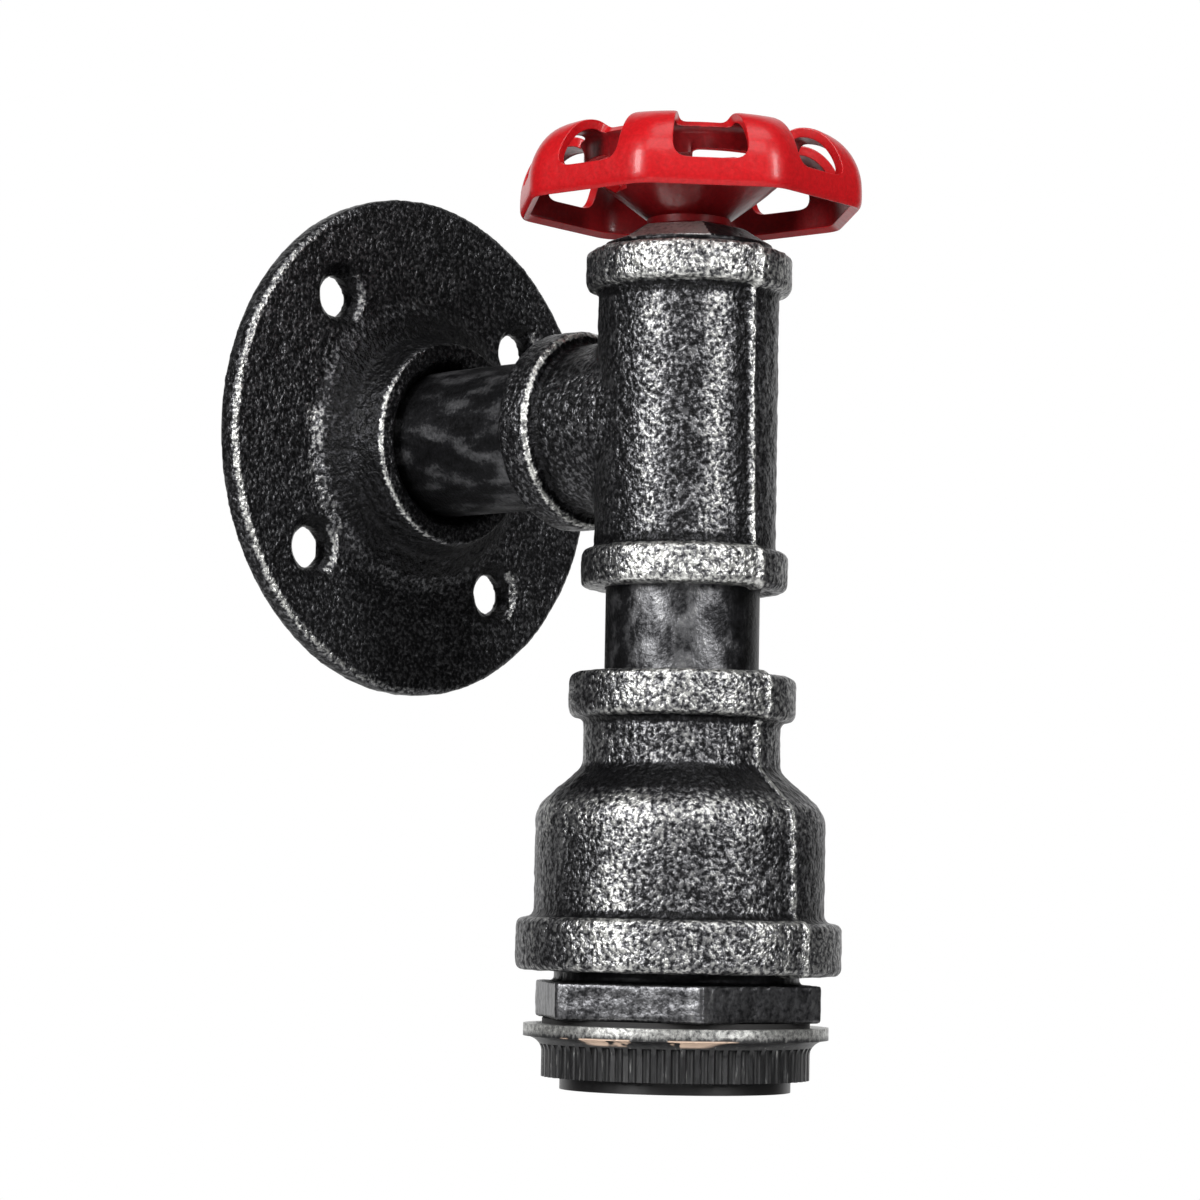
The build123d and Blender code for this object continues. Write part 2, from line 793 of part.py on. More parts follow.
# Ring tag under the upper nut, with an upright barrel for the earth lead.
with BuildPart() as earth_tag:
    with BuildSketch(column_level(plate_top)):
        Circle(tag_radius)
        with Locations((0, tag_reach / 2)):
            Rectangle(tag_width, tag_reach)
        with Locations((0, tag_reach)):
            Circle(tag_barrel_radius)
        Circle(rod_radius + thread_clearance, mode=Mode.SUBTRACT)
    extrude(amount=tag_thickness)
    with BuildSketch(column_level(tag_top)):
        with Locations((0, tag_reach)):
            Circle(tag_barrel_radius)
    extrude(amount=tag_barrel_height)
    with BuildSketch(column_level(tag_top + tag_barrel_height)):
        with Locations((0, tag_reach)):
            Circle(conductor_radius + thread_clearance)
    extrude(amount=-conductor_length, mode=Mode.SUBTRACT)

save(earth_tag, "earth_tag")

# ------------------------------------------------------------------ lamp socket

# Drawn brass shell on the E27 thread's outer size, with a lip turned in at the
# top that bears on the ceramic insert.
with BuildPart() as screw_shell:
    with BuildSketch(column_level(shell_bottom)):
        Circle(shell_radius)
        Circle(shell_bore_radius, mode=Mode.SUBTRACT)
    extrude(amount=shell_length)
    with BuildSketch(column_level(shell_top)):
        Circle(shell_radius)
        Circle(shell_lip_radius, mode=Mode.SUBTRACT)
    extrude(amount=-shell_sheet)

save(screw_shell, "screw_shell")

# Ceramic insert: a thick web under the terminals and a skirt round the recess
# that holds the centre contact, with slots for the straps and two screw holes.
live_strap_place = -(terminal_reach - strap_inset)
neutral_strap_place = terminal_reach + terminal_length / 2 + strap_thickness / 2
with BuildPart() as ceramic_insert:
    with BuildSketch(column_level(shell_top)):
        Circle(ceramic_radius)
    extrude(amount=ceramic_top - shell_top)
    with BuildSketch(column_level(shell_top)):
        Circle(ceramic_recess_radius)
    extrude(amount=ceramic_recess_depth, mode=Mode.SUBTRACT)
    with BuildSketch(column_level(shell_top)):
        for strap_place in (live_strap_place, neutral_strap_place):
            with Locations((strap_place, 0)):
                Rectangle(
                    strap_thickness + 2 * strap_slot_clearance,
                    strap_width + 2 * strap_slot_clearance,
                )
        for side in (-1, 1):
            with Locations((0, side * pillar_reach)):
                Circle(insert_screw_radius + strap_slot_clearance)
    extrude(amount=ceramic_top - shell_top, mode=Mode.SUBTRACT)

save(ceramic_insert, "ceramic_insert")

with BuildPart() as insert_screws:
    for side in (-1, 1):
        with BuildSketch(column_level(recess_ceiling)):
            with Locations((0, side * pillar_reach)):
                Circle(insert_screw_radius)
        extrude(amount=ceramic_web + insert_screw_grip)
        with BuildSketch(column_level(recess_ceiling - insert_screw_head_height)):
            with Locations((0, side * pillar_reach)):
                Circle(insert_screw_head_radius)
        extrude(amount=insert_screw_head_height)
        with BuildSketch(column_level(recess_ceiling - insert_screw_head_height)):
            with Locations((0, side * pillar_reach)):
                Rectangle(2 * insert_screw_head_radius, screw_slot_width)
        extrude(amount=screw_slot_depth, mode=Mode.SUBTRACT)

save(insert_screws, "insert_screws")


def terminal_block(side):
    """Brass block on the ceramic's top, with a lead hole and a screw hole."""
    inner_face = side * (terminal_reach - terminal_length / 2)
    lead_plane = Plane(
        origin=(inner_face, -wall_to_column, terminal_wire_height), z_dir=(side, 0, 0)
    )
    with BuildPart() as block:
        with BuildSketch(column_level(ceramic_top)):
            with Locations((side * terminal_reach, 0)):
                Rectangle(terminal_length, terminal_width)
        extrude(amount=terminal_height)
        with BuildSketch(lead_plane):
            Circle(conductor_radius + thread_clearance)
        extrude(amount=conductor_length, mode=Mode.SUBTRACT)
        with BuildSketch(column_level(terminal_top)):
            with Locations((side * terminal_reach, 0)):
                Circle(terminal_screw_radius + thread_clearance)
        extrude(amount=-terminal_screw_depth, mode=Mode.SUBTRACT)
    return block.part


# Live terminal: its strap goes down through the ceramic's web to a foot that the
# centre contact hinges below.
with BuildPart() as live_terminal:
    add(terminal_block(-1))
    with BuildSketch(column_level(recess_ceiling - strap_thickness)):
        with Locations((live_strap_place, 0)):
            Rectangle(strap_thickness, strap_width)
    extrude(amount=ceramic_web + strap_thickness)
    with BuildSketch(column_level(recess_ceiling - strap_thickness)):
        with Locations((live_strap_place + (foot_length - strap_thickness) / 2, 0)):
            Rectangle(foot_length, strap_width)
    extrude(amount=strap_thickness)

save(live_terminal, "live_terminal")

# Neutral terminal: its strap goes down through the ceramic's skirt to the shell.
with BuildPart() as neutral_terminal:
    add(terminal_block(1))
    with BuildSketch(column_level(shell_top)):
        with Locations((neutral_strap_place, 0)):
            Rectangle(strap_thickness, strap_width)
    extrude(amount=terminal_top - shell_top)

save(neutral_terminal, "neutral_terminal")

with BuildPart() as terminal_screws:
    for side in (-1, 1):
        with BuildSketch(column_level(terminal_top - terminal_screw_depth)):
            with Locations((side * terminal_reach, 0)):
                Circle(terminal_screw_radius)
        extrude(amount=terminal_screw_depth)
        with BuildSketch(column_level(terminal_top)):
            with Locations((side * terminal_reach, 0)):
                Circle(terminal_screw_head_radius)
        extrude(amount=terminal_screw_head_height)
        with BuildSketch(column_level(terminal_top + terminal_screw_head_height)):
            with Locations((side * terminal_reach, 0)):
                Rectangle(2 * terminal_screw_head_radius, screw_slot_width)
        extrude(amount=-screw_slot_depth, mode=Mode.SUBTRACT)

save(terminal_screws, "terminal_screws")

# Centre contact: a springy tongue from under the live terminal's foot down to a
# flat tip on the lamp's axis.
tongue_root = live_strap_place - strap_thickness / 2
tongue_top = recess_ceiling - strap_thickness - tongue_gap
with BuildPart() as centre_contact:
    with BuildSketch(column_section):
        with BuildLine():
            Polyline(
                (tongue_root, tongue_top),
                (tongue_root + foot_length, tongue_top),
                (-tongue_flat, tongue_top - tongue_tip_drop),
                (tongue_flat, tongue_top - tongue_tip_drop),
                (tongue_flat, tongue_top - tongue_tip_drop - tongue_thickness),
                (-tongue_flat, tongue_top - tongue_tip_drop - tongue_thickness),
                (tongue_root + foot_length, tongue_top - tongue_thickness),
                (tongue_root, tongue_top - tongue_thickness),
                close=True,
            )
        make_face()
    extrude(amount=tongue_width / 2, both=True)

save(centre_contact, "centre_contact")

# ------------------------------------------------------------------- shade ring

# Flat fibre washer between the bushing and the ring.
with BuildPart() as ring_washer:
    with BuildSketch(column_level(ring_top)):
        Circle(ring_body_radius)
        Circle(ring_bore_radius, mode=Mode.SUBTRACT)
    extrude(amount=ring_washer_thickness)

save(ring_washer, "ring_washer")

# Ring on the skirt's thread: a flat lip that flares out of a fluted grip.
with BuildPart() as shade_ring:
    with BuildSketch(column_section):
        with BuildLine():
            Polyline(
                (ring_lip_radius, lip_bottom),
                (ring_lip_radius, ring_top),
                (ring_bore_radius, ring_top),
                (ring_bore_radius, ring_bottom),
                (ring_body_radius, ring_bottom),
                (ring_body_radius, lip_bottom - ring_flare_height),
            )
            EllipticalCenterArc(
                (ring_lip_radius, lip_bottom - ring_flare_height),
                ring_lip_radius - ring_body_radius,
                ring_flare_height,
                start_angle=90,
                arc_size=90,
            )
        make_face()
    revolve(axis=column_axis)
    flute_centre_radius = ring_body_radius + ring_flute_radius - ring_flute_depth
    with BuildSketch(column_level(ring_bottom)):
        with PolarLocations(flute_centre_radius, ring_flute_count):
            Circle(ring_flute_radius)
    extrude(amount=lip_bottom - ring_flare_height / 2 - ring_bottom, mode=Mode.SUBTRACT)

save(shade_ring, "shade_ring")

# -------------------------------------------------------------- connector block

# Three-pole block in the mouth of the wall pipe. The supply cable enters it from
# the wall side and the leads leave it on the other.
block_middle = -(block_back + block_length / 2)
block_level = Plane(origin=(0, block_middle, block_bottom), x_dir=(1, 0, 0), z_dir=(0, 0, 1))
pole_level = Plane(origin=(0, block_middle, pole_height), x_dir=(1, 0, 0), z_dir=(0, 0, 1))
pole_plane = Plane(origin=(0, 0, pole_height), x_dir=(1, 0, 0), z_dir=(0, -1, 0))
screw_places = [
    (pole, offset * barrel_length / 4) for pole in pole_places for offset in (-1, 1)
]
with BuildPart() as connector_block:
    with BuildSketch(block_level):
        Rectangle(block_width, block_length)
    extrude(amount=block_height)
    fillet(edges().filter_by(Axis.Y), block_edge_round)
    with BuildSketch(pole_plane.offset(block_back)):
        for pole in pole_places:
            with Locations((pole, 0)):
                Circle(lead_radius + lead_hole_clearance)
    extrude(amount=block_length, mode=Mode.SUBTRACT)
    with BuildSketch(pole_plane.offset(barrel_back)):
        for pole in pole_places:
            with Locations((pole, 0)):
                Rectangle(
                    barrel_side + 2 * barrel_clearance, barrel_side + 2 * barrel_clearance
                )
    extrude(amount=barrel_length, mode=Mode.SUBTRACT)
    with BuildSketch(pole_level):
        with Locations(*screw_places):
            Circle(connector_screw_radius + lead_hole_clearance)
    extrude(amount=block_height, mode=Mode.SUBTRACT)

save(connector_block, "connector_block")

with BuildPart() as connector_barrels:
    with BuildSketch(pole_plane.offset(barrel_back)):
        for pole in pole_places:
            with Locations((pole, 0)):
                Rectangle(barrel_side, barrel_side)
                Circle(conductor_radius + barrel_bore_clearance, mode=Mode.SUBTRACT)
    extrude(amount=barrel_length)
    with BuildSketch(pole_level):
        with Locations(*screw_places):
            Circle(connector_screw_radius + thread_clearance)
    extrude(amount=barrel_side, mode=Mode.SUBTRACT)

save(connector_barrels, "connector_barrels")

screw_tip = conductor_radius + screw_contact_gap
screw_top = block_top - connector_screw_sink - pole_height
with BuildPart() as connector_screws:
    with BuildSketch(pole_level.offset(screw_tip)):
        with Locations(*screw_places):
            Circle(connector_screw_radius)
    extrude(amount=screw_top - screw_tip)
    with BuildSketch(pole_level.offset(screw_top)):
        with Locations(*screw_places):
            Rectangle(2 * connector_screw_radius, screw_slot_width)
    extrude(amount=-screw_slot_depth, mode=Mode.SUBTRACT)

save(connector_screws, "connector_screws")

# ------------------------------------------------------------------------ leads


def lead(route, bends):
    """Insulated wire along a route of straight runs and arcs, bared at its ends."""
    with BuildLine() as path:
        FilletPolyline(*route, radius=bends)
    wire = path.wires()[0]
    with BuildPart() as piece:
        with BuildSketch(Plane(origin=wire @ 0, z_dir=wire % 0)):
            Circle(lead_radius)
        sweep(path=wire)
        for end, direction in ((wire @ 0, -(wire % 0)), (wire @ 1, wire % 1)):
            with BuildSketch(Plane(origin=end, z_dir=direction)):
                Circle(conductor_radius)
            extrude(amount=conductor_length)
    section = pi * lead_radius**2
    bare = 2 * pi * conductor_radius**2 * conductor_length
    print("lead length", round(wire.length, 2), "bends", bends)
    print("lead volume error", round(piece.part.volume - bare - section * wire.length, 3))
    return piece


lead_start = -barrel_front
for side, label in ((-1, "live_lead"), (1, "neutral_lead")):
    route = [
        (side * pole_pitch, lead_start, pole_height),
        (side * pole_pitch, -branch_turn_reach, pole_height),
        (side * rod_lane, -wall_to_column, pole_height),
        (side * rod_lane, -wall_to_column, terminal_wire_height),
        (side * (terminal_reach - terminal_length / 2), -wall_to_column, terminal_wire_height),
    ]
    save(lead(route, [bend_in_branch, bend_in_column, bend_in_cap]), label)

earth_lane = -wall_to_column + tag_reach
earth_route = [
    (0, lead_start, pole_height),
    (0, earth_lane, pole_height),
    (0, earth_lane, tag_top + tag_barrel_height),
]
save(lead(earth_route, [bend_of_earth]), "earth_lead")
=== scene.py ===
import math

import bmesh
import bpy
from mathutils import Matrix, Vector, noise


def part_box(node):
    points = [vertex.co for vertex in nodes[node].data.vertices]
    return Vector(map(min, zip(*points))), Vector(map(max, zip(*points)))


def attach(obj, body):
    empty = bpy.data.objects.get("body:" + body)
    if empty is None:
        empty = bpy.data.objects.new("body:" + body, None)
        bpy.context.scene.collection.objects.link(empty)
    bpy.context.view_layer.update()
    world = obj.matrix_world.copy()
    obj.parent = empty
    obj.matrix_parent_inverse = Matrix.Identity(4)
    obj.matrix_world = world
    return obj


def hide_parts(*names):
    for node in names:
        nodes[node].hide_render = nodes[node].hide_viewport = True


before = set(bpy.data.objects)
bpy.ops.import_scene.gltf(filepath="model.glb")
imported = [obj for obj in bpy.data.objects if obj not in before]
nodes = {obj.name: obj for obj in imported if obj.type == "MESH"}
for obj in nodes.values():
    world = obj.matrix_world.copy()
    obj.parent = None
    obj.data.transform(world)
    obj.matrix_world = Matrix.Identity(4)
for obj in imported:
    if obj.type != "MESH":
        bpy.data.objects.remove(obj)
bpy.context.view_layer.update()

MM = 0.001
scene = bpy.context.scene
scene.view_settings.view_transform = "Standard"

# ------------------------------------------------------------------ photo's view
# The camera that the photograph was taken with, found from the flange's outline
# and the column's edges. It looks at the lamp from its left, a little upwards.
view_azimuth = math.radians(-46.869)
view_pitch = math.radians(4.573)
view_roll = math.radians(1.033)
view_place = Vector((-498.56, -517.44, -84.95)) * MM
view_lens = 116.456
view_sensor = 36

look = Vector(
    (
        -math.sin(view_azimuth) * math.cos(view_pitch),
        math.cos(view_azimuth) * math.cos(view_pitch),
        math.sin(view_pitch),
    )
)
level_right = Vector((math.cos(view_azimuth), math.sin(view_azimuth), 0))
level_up = level_right.cross(look)
view_right = math.cos(view_roll) * level_right + math.sin(view_roll) * level_up
view_up = view_right.cross(look)


def new_object(name, data):
    """A new object in the scene with a mesh, light or camera."""
    piece = bpy.data.objects.new(name, data)
    scene.collection.objects.link(piece)
    return piece


camera_data = bpy.data.cameras.new("photo_view")
camera_data.lens = view_lens
camera_data.sensor_width = view_sensor
camera = new_object("photo_view", camera_data)
view_turn = Matrix((view_right, view_up, -look)).transposed().to_4x4()
camera.matrix_world = Matrix.Translation(view_place) @ view_turn
scene.camera = camera

# ------------------------------------------------------------- studio and lights
# A white sweep behind the lamp, seen by the camera and in its metal, and a
# dimmer room in front. One tall soft box stands ahead of the wall and another to
# its left, with weaker ones above and a low strip. The pale floor lies far below.
room_ambient = 0.15
room_in_metal = 0.05
sweep_edge = (0.5, 0.9)
lamp_centre = Vector((0, -0.06, -0.02))
floor_drop = 0.6
floor_reach = 1.2
floor_dullness = 0.9


def hexa(code):
    """Linear colour of an sRGB hex value."""
    parts = [int(code[i : i + 2], 16) / 255 for i in (1, 3, 5)]
    linear = [c / 12.92 if c <= 0.04045 else ((c + 0.055) / 1.055) ** 2.4 for c in parts]
    return (*linear, 1.0)


def add(tree, kind, inputs=None, stops=None, **settings):
    """Adds one shader node with its settings, and links or sets its inputs.

    A node given as an input is linked by its first live output. stops are a colour
    ramp's places and hex colours, from the lowest to the highest.
    """
    node = tree.nodes.new("ShaderNode" + kind)
    for key, value in settings.items():
        setattr(node, key, value)
    for socket, value in (inputs or {}).items():
        if isinstance(value, bpy.types.Node):
            value = next(output for output in value.outputs if output.enabled)
        if isinstance(value, bpy.types.NodeSocket):
            tree.links.new(value, node.inputs[socket])
        else:
            node.inputs[socket].default_value = value
    if stops:
        points = node.color_ramp.elements
        for place, code in stops[1:-1]:
            points.new(place).color = hexa(code)
        for point, (place, code) in ((points[0], stops[0]), (points[-1], stops[-1])):
            point.position = place
            point.color = hexa(code)
    return node


def softbox(name, place, size, power):
    """A rectangular soft light at a place in metres, turned to face the lamp."""
    light = bpy.data.lights.new(name, "AREA")
    light.shape = "RECTANGLE"
    light.size, light.size_y = size
    light.energy = power
    holder = new_object(name, light)
    holder.location = place
    toward_lamp = lamp_centre - Vector(place)
    holder.rotation_euler = toward_lamp.to_track_quat("-Z", "Y").to_euler()


def mesh_piece(name, bm):
    """A new object in the scene made from a bmesh, which is freed."""
    mesh = bpy.data.meshes.new(name)
    bm.to_mesh(mesh)
    bm.free()
    return new_object(name, mesh)


world = bpy.data.worlds.new("studio")
scene.world = world
world.use_nodes = True
tree = world.node_tree
tree.nodes.clear()
rays = add(tree, "LightPath").outputs
direction = add(tree, "TexCoord").outputs["Generated"]
toward = add(tree, "VectorMath", {0: direction, 1: look}, operation="DOT_PRODUCT")
sweep = add(
    tree,
    "MapRange",
    {"Value": toward, "From Min": sweep_edge[0], "From Max": sweep_edge[1]},
    interpolation_type="SMOOTHSTEP",
)
in_metal = add(tree, "Math", {0: rays["Is Glossy Ray"], 1: sweep}, operation="MULTIPLY")
seen = add(tree, "Math", {0: rays["Is Camera Ray"], 1: in_metal}, operation="MAXIMUM")
white = add(tree, "Math", {0: seen, 1: rays["Is Transmission Ray"]}, operation="MAXIMUM")
room = add(
    tree,
    "MapRange",
    {"Value": rays["Is Glossy Ray"], "To Min": room_ambient, "To Max": room_in_metal},
)
level = add(tree, "MapRange", {"Value": white, "To Min": room, "To Max": 1.0})
sky = add(tree, "Background", {"Color": (1, 1, 1, 1), "Strength": level})
add(tree, "OutputWorld", {"Surface": sky})

softbox("front_box", (-0.08, -1.42, 0.5), (0.32, 0.8), 16)
softbox("left_box", (-1.42, -0.05, 0.5), (0.45, 0.8), 25)
softbox("high_box", (-0.8, -0.85, 1.15), (0.9, 0.5), 6)
softbox("top_box", (-0.1, -0.5, 1.3), (0.7, 0.5), 4)
softbox("low_strip", (-0.75, -0.8, -0.42), (0.6, 0.06), 0.5)

bm = bmesh.new()
bmesh.ops.create_grid(bm, x_segments=1, y_segments=1, size=floor_reach)
bmesh.ops.translate(bm, verts=bm.verts, vec=(0, 0, -floor_drop))
floor = mesh_piece("floor", bm)
paper = bpy.data.materials.new("pale_floor_paper")
paper.use_nodes = True
paper_inputs = paper.node_tree.nodes["Principled BSDF"].inputs
paper_inputs["Base Color"].default_value = hexa("#e6e6e6")
paper_inputs["Roughness"].default_value = floor_dullness
floor.data.materials.append(paper)

# ------------------------------------------------------------------- wall flange
# Round floor flange screwed to the wall: malleable iron, sand cast, with a conical
# threaded hub. It is lacquered black and rubbed with silver, which stays on the
# rim, the hub's edge and the grains of the casting.
flange_low, flange_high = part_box("wall_flange")
flange_radius = flange_high.x / MM
flange_front = -flange_low.y / MM
hub_rim_radius = 18.5
hub_foot_radius = 27.0
hole_circle = 33.0
hole_start = 38.5
countersink = 5.7
# Direction of the light whose painted highlights brighten the flange's left.
flange_lit_from = math.radians(195)


def finish(name, build):
    """A new node material; build(tree) returns its surface shader."""
    material = bpy.data.materials.new(name)
    material.use_nodes = True
    tree = material.node_tree
    tree.nodes.clear()
    add(tree, "OutputMaterial", {"Surface": build(tree)})
    return material


def coat(name, material):
    """Gives a CAD node one material all over."""
    mesh = nodes[name].data
    mesh.materials.clear()
    mesh.materials.append(material)


def millimetres(tree, stretch=(1, 1, 1)):
    """The piece's own coordinates in millimetres, stretched along an axis."""
    place = add(tree, "TexCoord").outputs["Object"]
    scale = [s / MM for s in stretch]
    return add(tree, "Mapping", {"Vector": place, "Scale": scale})


def rubbed_iron(contrast, grit, dullness):
    """Black sand-cast iron, with silver applied by dry brushing where the piece's rub is
    high; the rub also carries painted highlights and painted shade.

    The grains of the sand are 0.8 mm across and the brushing comes in 5 mm
    patches, with black pits between the grains. Both the lacquer and the silver
    paint have a metal's dull shine, which the grains break up. contrast is the
    silver's spread from grain to grain, grit the grains' height in millimetres
    and dullness the roughness of the shine.
    """
    patch_rub = 0.07
    lump_share = 1.4
    black_to_silver = [
        (0.0, "#0c0c0d"),
        (0.25, "#29292b"),
        (0.5, "#6c6c6e"),
        (0.75, "#b4b4b1"),
        (1.0, "#eeeeea"),
    ]

    def build(tree):
        where = millimetres(tree)
        grain = add(
            tree,
            "TexNoise",
            {"Vector": where, "Scale": 1.3, "Detail": 2, "Roughness": 0.55},
        )
        lumps = add(tree, "TexNoise", {"Vector": where, "Scale": 0.55, "Detail": 2})
        patch = add(tree, "TexNoise", {"Vector": where, "Scale": 0.18, "Detail": 2})
        # The piece's silver from wear, with its painted highlights and painted shade.
        rub_and_light = add(tree, "Attribute", attribute_name="rub_and_light").outputs["Fac"]
        patches = add(
            tree,
            "MapRange",
            {
                "Value": patch,
                "From Min": 0.3,
                "From Max": 0.7,
                "To Min": -patch_rub,
                "To Max": patch_rub,
            },
        )
        speckle = add(
            tree,
            "MapRange",
            {
                "Value": grain,
                "From Min": 0.3,
                "From Max": 0.6,
                "To Min": -1.35 * contrast,
                "To Max": 0.65 * contrast,
            },
        )
        worn_and_lit = add(tree, "Math", {0: rub_and_light, 1: patches}, operation="ADD")
        amount = add(tree, "Math", {0: worn_and_lit, 1: speckle}, operation="ADD")
        colour = add(tree, "ValToRGB", {"Fac": amount}, stops=black_to_silver)
        metal = add(
            tree,
            "MapRange",
            {"Value": amount, "From Max": 0.4, "To Min": 0.6, "To Max": 0.95},
        )
        heights = add(
            tree, "Math", {0: lumps, 1: lump_share, 2: grain}, operation="MULTIPLY_ADD"
        )
        bump = add(
            tree, "Bump", {"Height": heights, "Strength": 1.0, "Distance": grit * MM}
        )
        return add(
            tree,
            "BsdfPrincipled",
            {
                "Base Color": colour,
                "Metallic": metal,
                "Roughness": dullness,
                "Specular IOR Level": 0.3,
                "Normal": bump,
            },
        )

    return build


iron = finish("black_malleable_iron_rubbed_silver", rubbed_iron(0.3, 0.36, 0.38))
plug_low, plug_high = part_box("top_plug")
column_y = (plug_low.y + plug_high.y) / 2


def around_column(point):
    """Distance of a point from the column's axis, in millimetres."""
    return math.hypot(point.x, point.y - column_y) / MM


def casting(name, node, rub_and_light, skin=0.1, voxel=0.45, seam=None, slip=None, bore=0.0):
    """A copy of a CAD piece with soft edges and the lumpy skin of a sand casting.

    rub(point, normal) tells how much silver is left there, from 0 to 1, painted highlights
    and painted shade included. seam(point) gives how far the mould's seam stands out, in
    millimetres, and slip(point) how one mould half is moved against the other. skin is the
    lumps' height and voxel the mesh's fineness. Nothing moves on the wall's plane, or
    nearer to the column's axis than bore. All are in millimetres.
    """
    lump_size = 2.2 * MM
    wall_margin = 0.4 * MM
    bm = bmesh.new()
    bm.from_mesh(nodes[node].data)
    bmesh.ops.remove_doubles(bm, verts=bm.verts, dist=0.002 * MM)
    rough = mesh_piece(name, bm)
    remesh = rough.modifiers.new("sand", "REMESH")
    remesh.mode = "VOXEL"
    remesh.voxel_size = voxel * MM
    soften = rough.modifiers.new("soft_edges", "SMOOTH")
    soften.factor = 0.5
    soften.iterations = 2
    softened = rough.evaluated_get(bpy.context.evaluated_depsgraph_get())
    mesh = bpy.data.meshes.new_from_object(softened)
    bpy.data.objects.remove(rough)
    mesh.name = name
    normals = [v.normal.copy() for v in mesh.vertices]
    marks = mesh.attributes.new("rub_and_light", "FLOAT", "POINT")
    for vertex, normal in zip(mesh.vertices, normals):
        point = vertex.co.copy()
        marks.data[vertex.index].value = rub_and_light(point, normal)
        if point.y > -wall_margin or bore and around_column(point) < bore:
            continue
        lump = noise.fractal(point / lump_size, 1.0, 2.0, 3) * skin
        ridge = seam(point) if seam else 0.0
        vertex.co = point + normal * (lump + ridge) * MM
        if slip:
            vertex.co += slip(point)
    for face in mesh.polygons:
        face.use_smooth = True
    return new_object(name, mesh)


def dress(piece, material, body, slot, *replaced):
    """Gives a new piece its material and body, and hides the CAD nodes it stands for. slot
    is not used.
    """
    piece.data.materials.clear()
    piece.data.materials.append(material)
    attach(piece, body)
    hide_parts(*replaced)


def hole_offset(point):
    """Where a point lies from the middle of the nearest bolt hole, in mm."""
    turn = math.degrees(math.atan2(point.z, point.x)) - hole_start
    nearest = math.radians(hole_start + 90 * round(turn / 90))
    return (
        point.x / MM - hole_circle * math.cos(nearest),
        point.z / MM - hole_circle * math.sin(nearest),
    )


def flange_rub_and_light(point, normal):
    """Silver on the rim and the hub's edge, a painted highlight on the hub's foot, and in
    the countersinks a painted highlight and painted shade.

    It is brightest toward the left, where painted highlights stand in for the light from
    that side.
    """
    hub_edge = 0.7
    hub_wall = flange_front * 0.4
    rim_line = flange_radius - 0.8
    rim_line_half = 0.55
    foot_line_half = 1.8
    radius = math.hypot(point.x, point.z) / MM
    depth = -point.y / MM
    across, up = hole_offset(point)
    to_hole = math.hypot(across, up)
    turn = math.atan2(point.z, point.x)
    leftward = max(0.0, math.cos(turn - flange_lit_from))
    if normal.y > 0.5:
        return 0.14
    # The hub's worn edge, with a painted highlight on its left.
    if depth > flange_front - hub_edge:
        return 0.12 + 0.7 * leftward if radius > hub_rim_radius - 0.5 else 0.22
    if depth > hub_wall:
        return 0.05
    # The countersinks: a painted highlight on their lit side, painted shade elsewhere.
    if to_hole < countersink + 0.3:
        lit = across > 0.6 * to_hole and to_hole > countersink - 0.9
        return 0.5 if lit else 0.03
    # The rim's worn line, with a painted highlight on its left.
    if abs(radius - rim_line) < rim_line_half:
        return 0.2 + 0.55 * leftward
    # A painted highlight on the hub's foot, at its left.
    if abs(radius - hub_foot_radius) < foot_line_half and leftward > 0.9:
        return 0.42
    return 0.23


flange = casting("wall_flange_cast", "wall_flange", flange_rub_and_light, skin=0.12, voxel=0.5)
dress(flange, iron, "fixture", "malleable_iron", "wall_flange")

# ------------------------------------------------------------ wall and drop pipes
# Short lengths of black steel pipe, smoother than the castings, with the silver
# rubbed on in soft blotches. The drop pipe has a painted highlight on its front's left,
# and painted shade beyond it.
pipe_radius = 13.37
# Where the drop pipe's painted highlight lies: its front's left, facing the light.
drop_lit_from = math.radians(213.1)
drop_lit_point = (
    pipe_radius * math.cos(drop_lit_from),
    pipe_radius * math.sin(drop_lit_from) + column_y / MM,
    0.0,
)


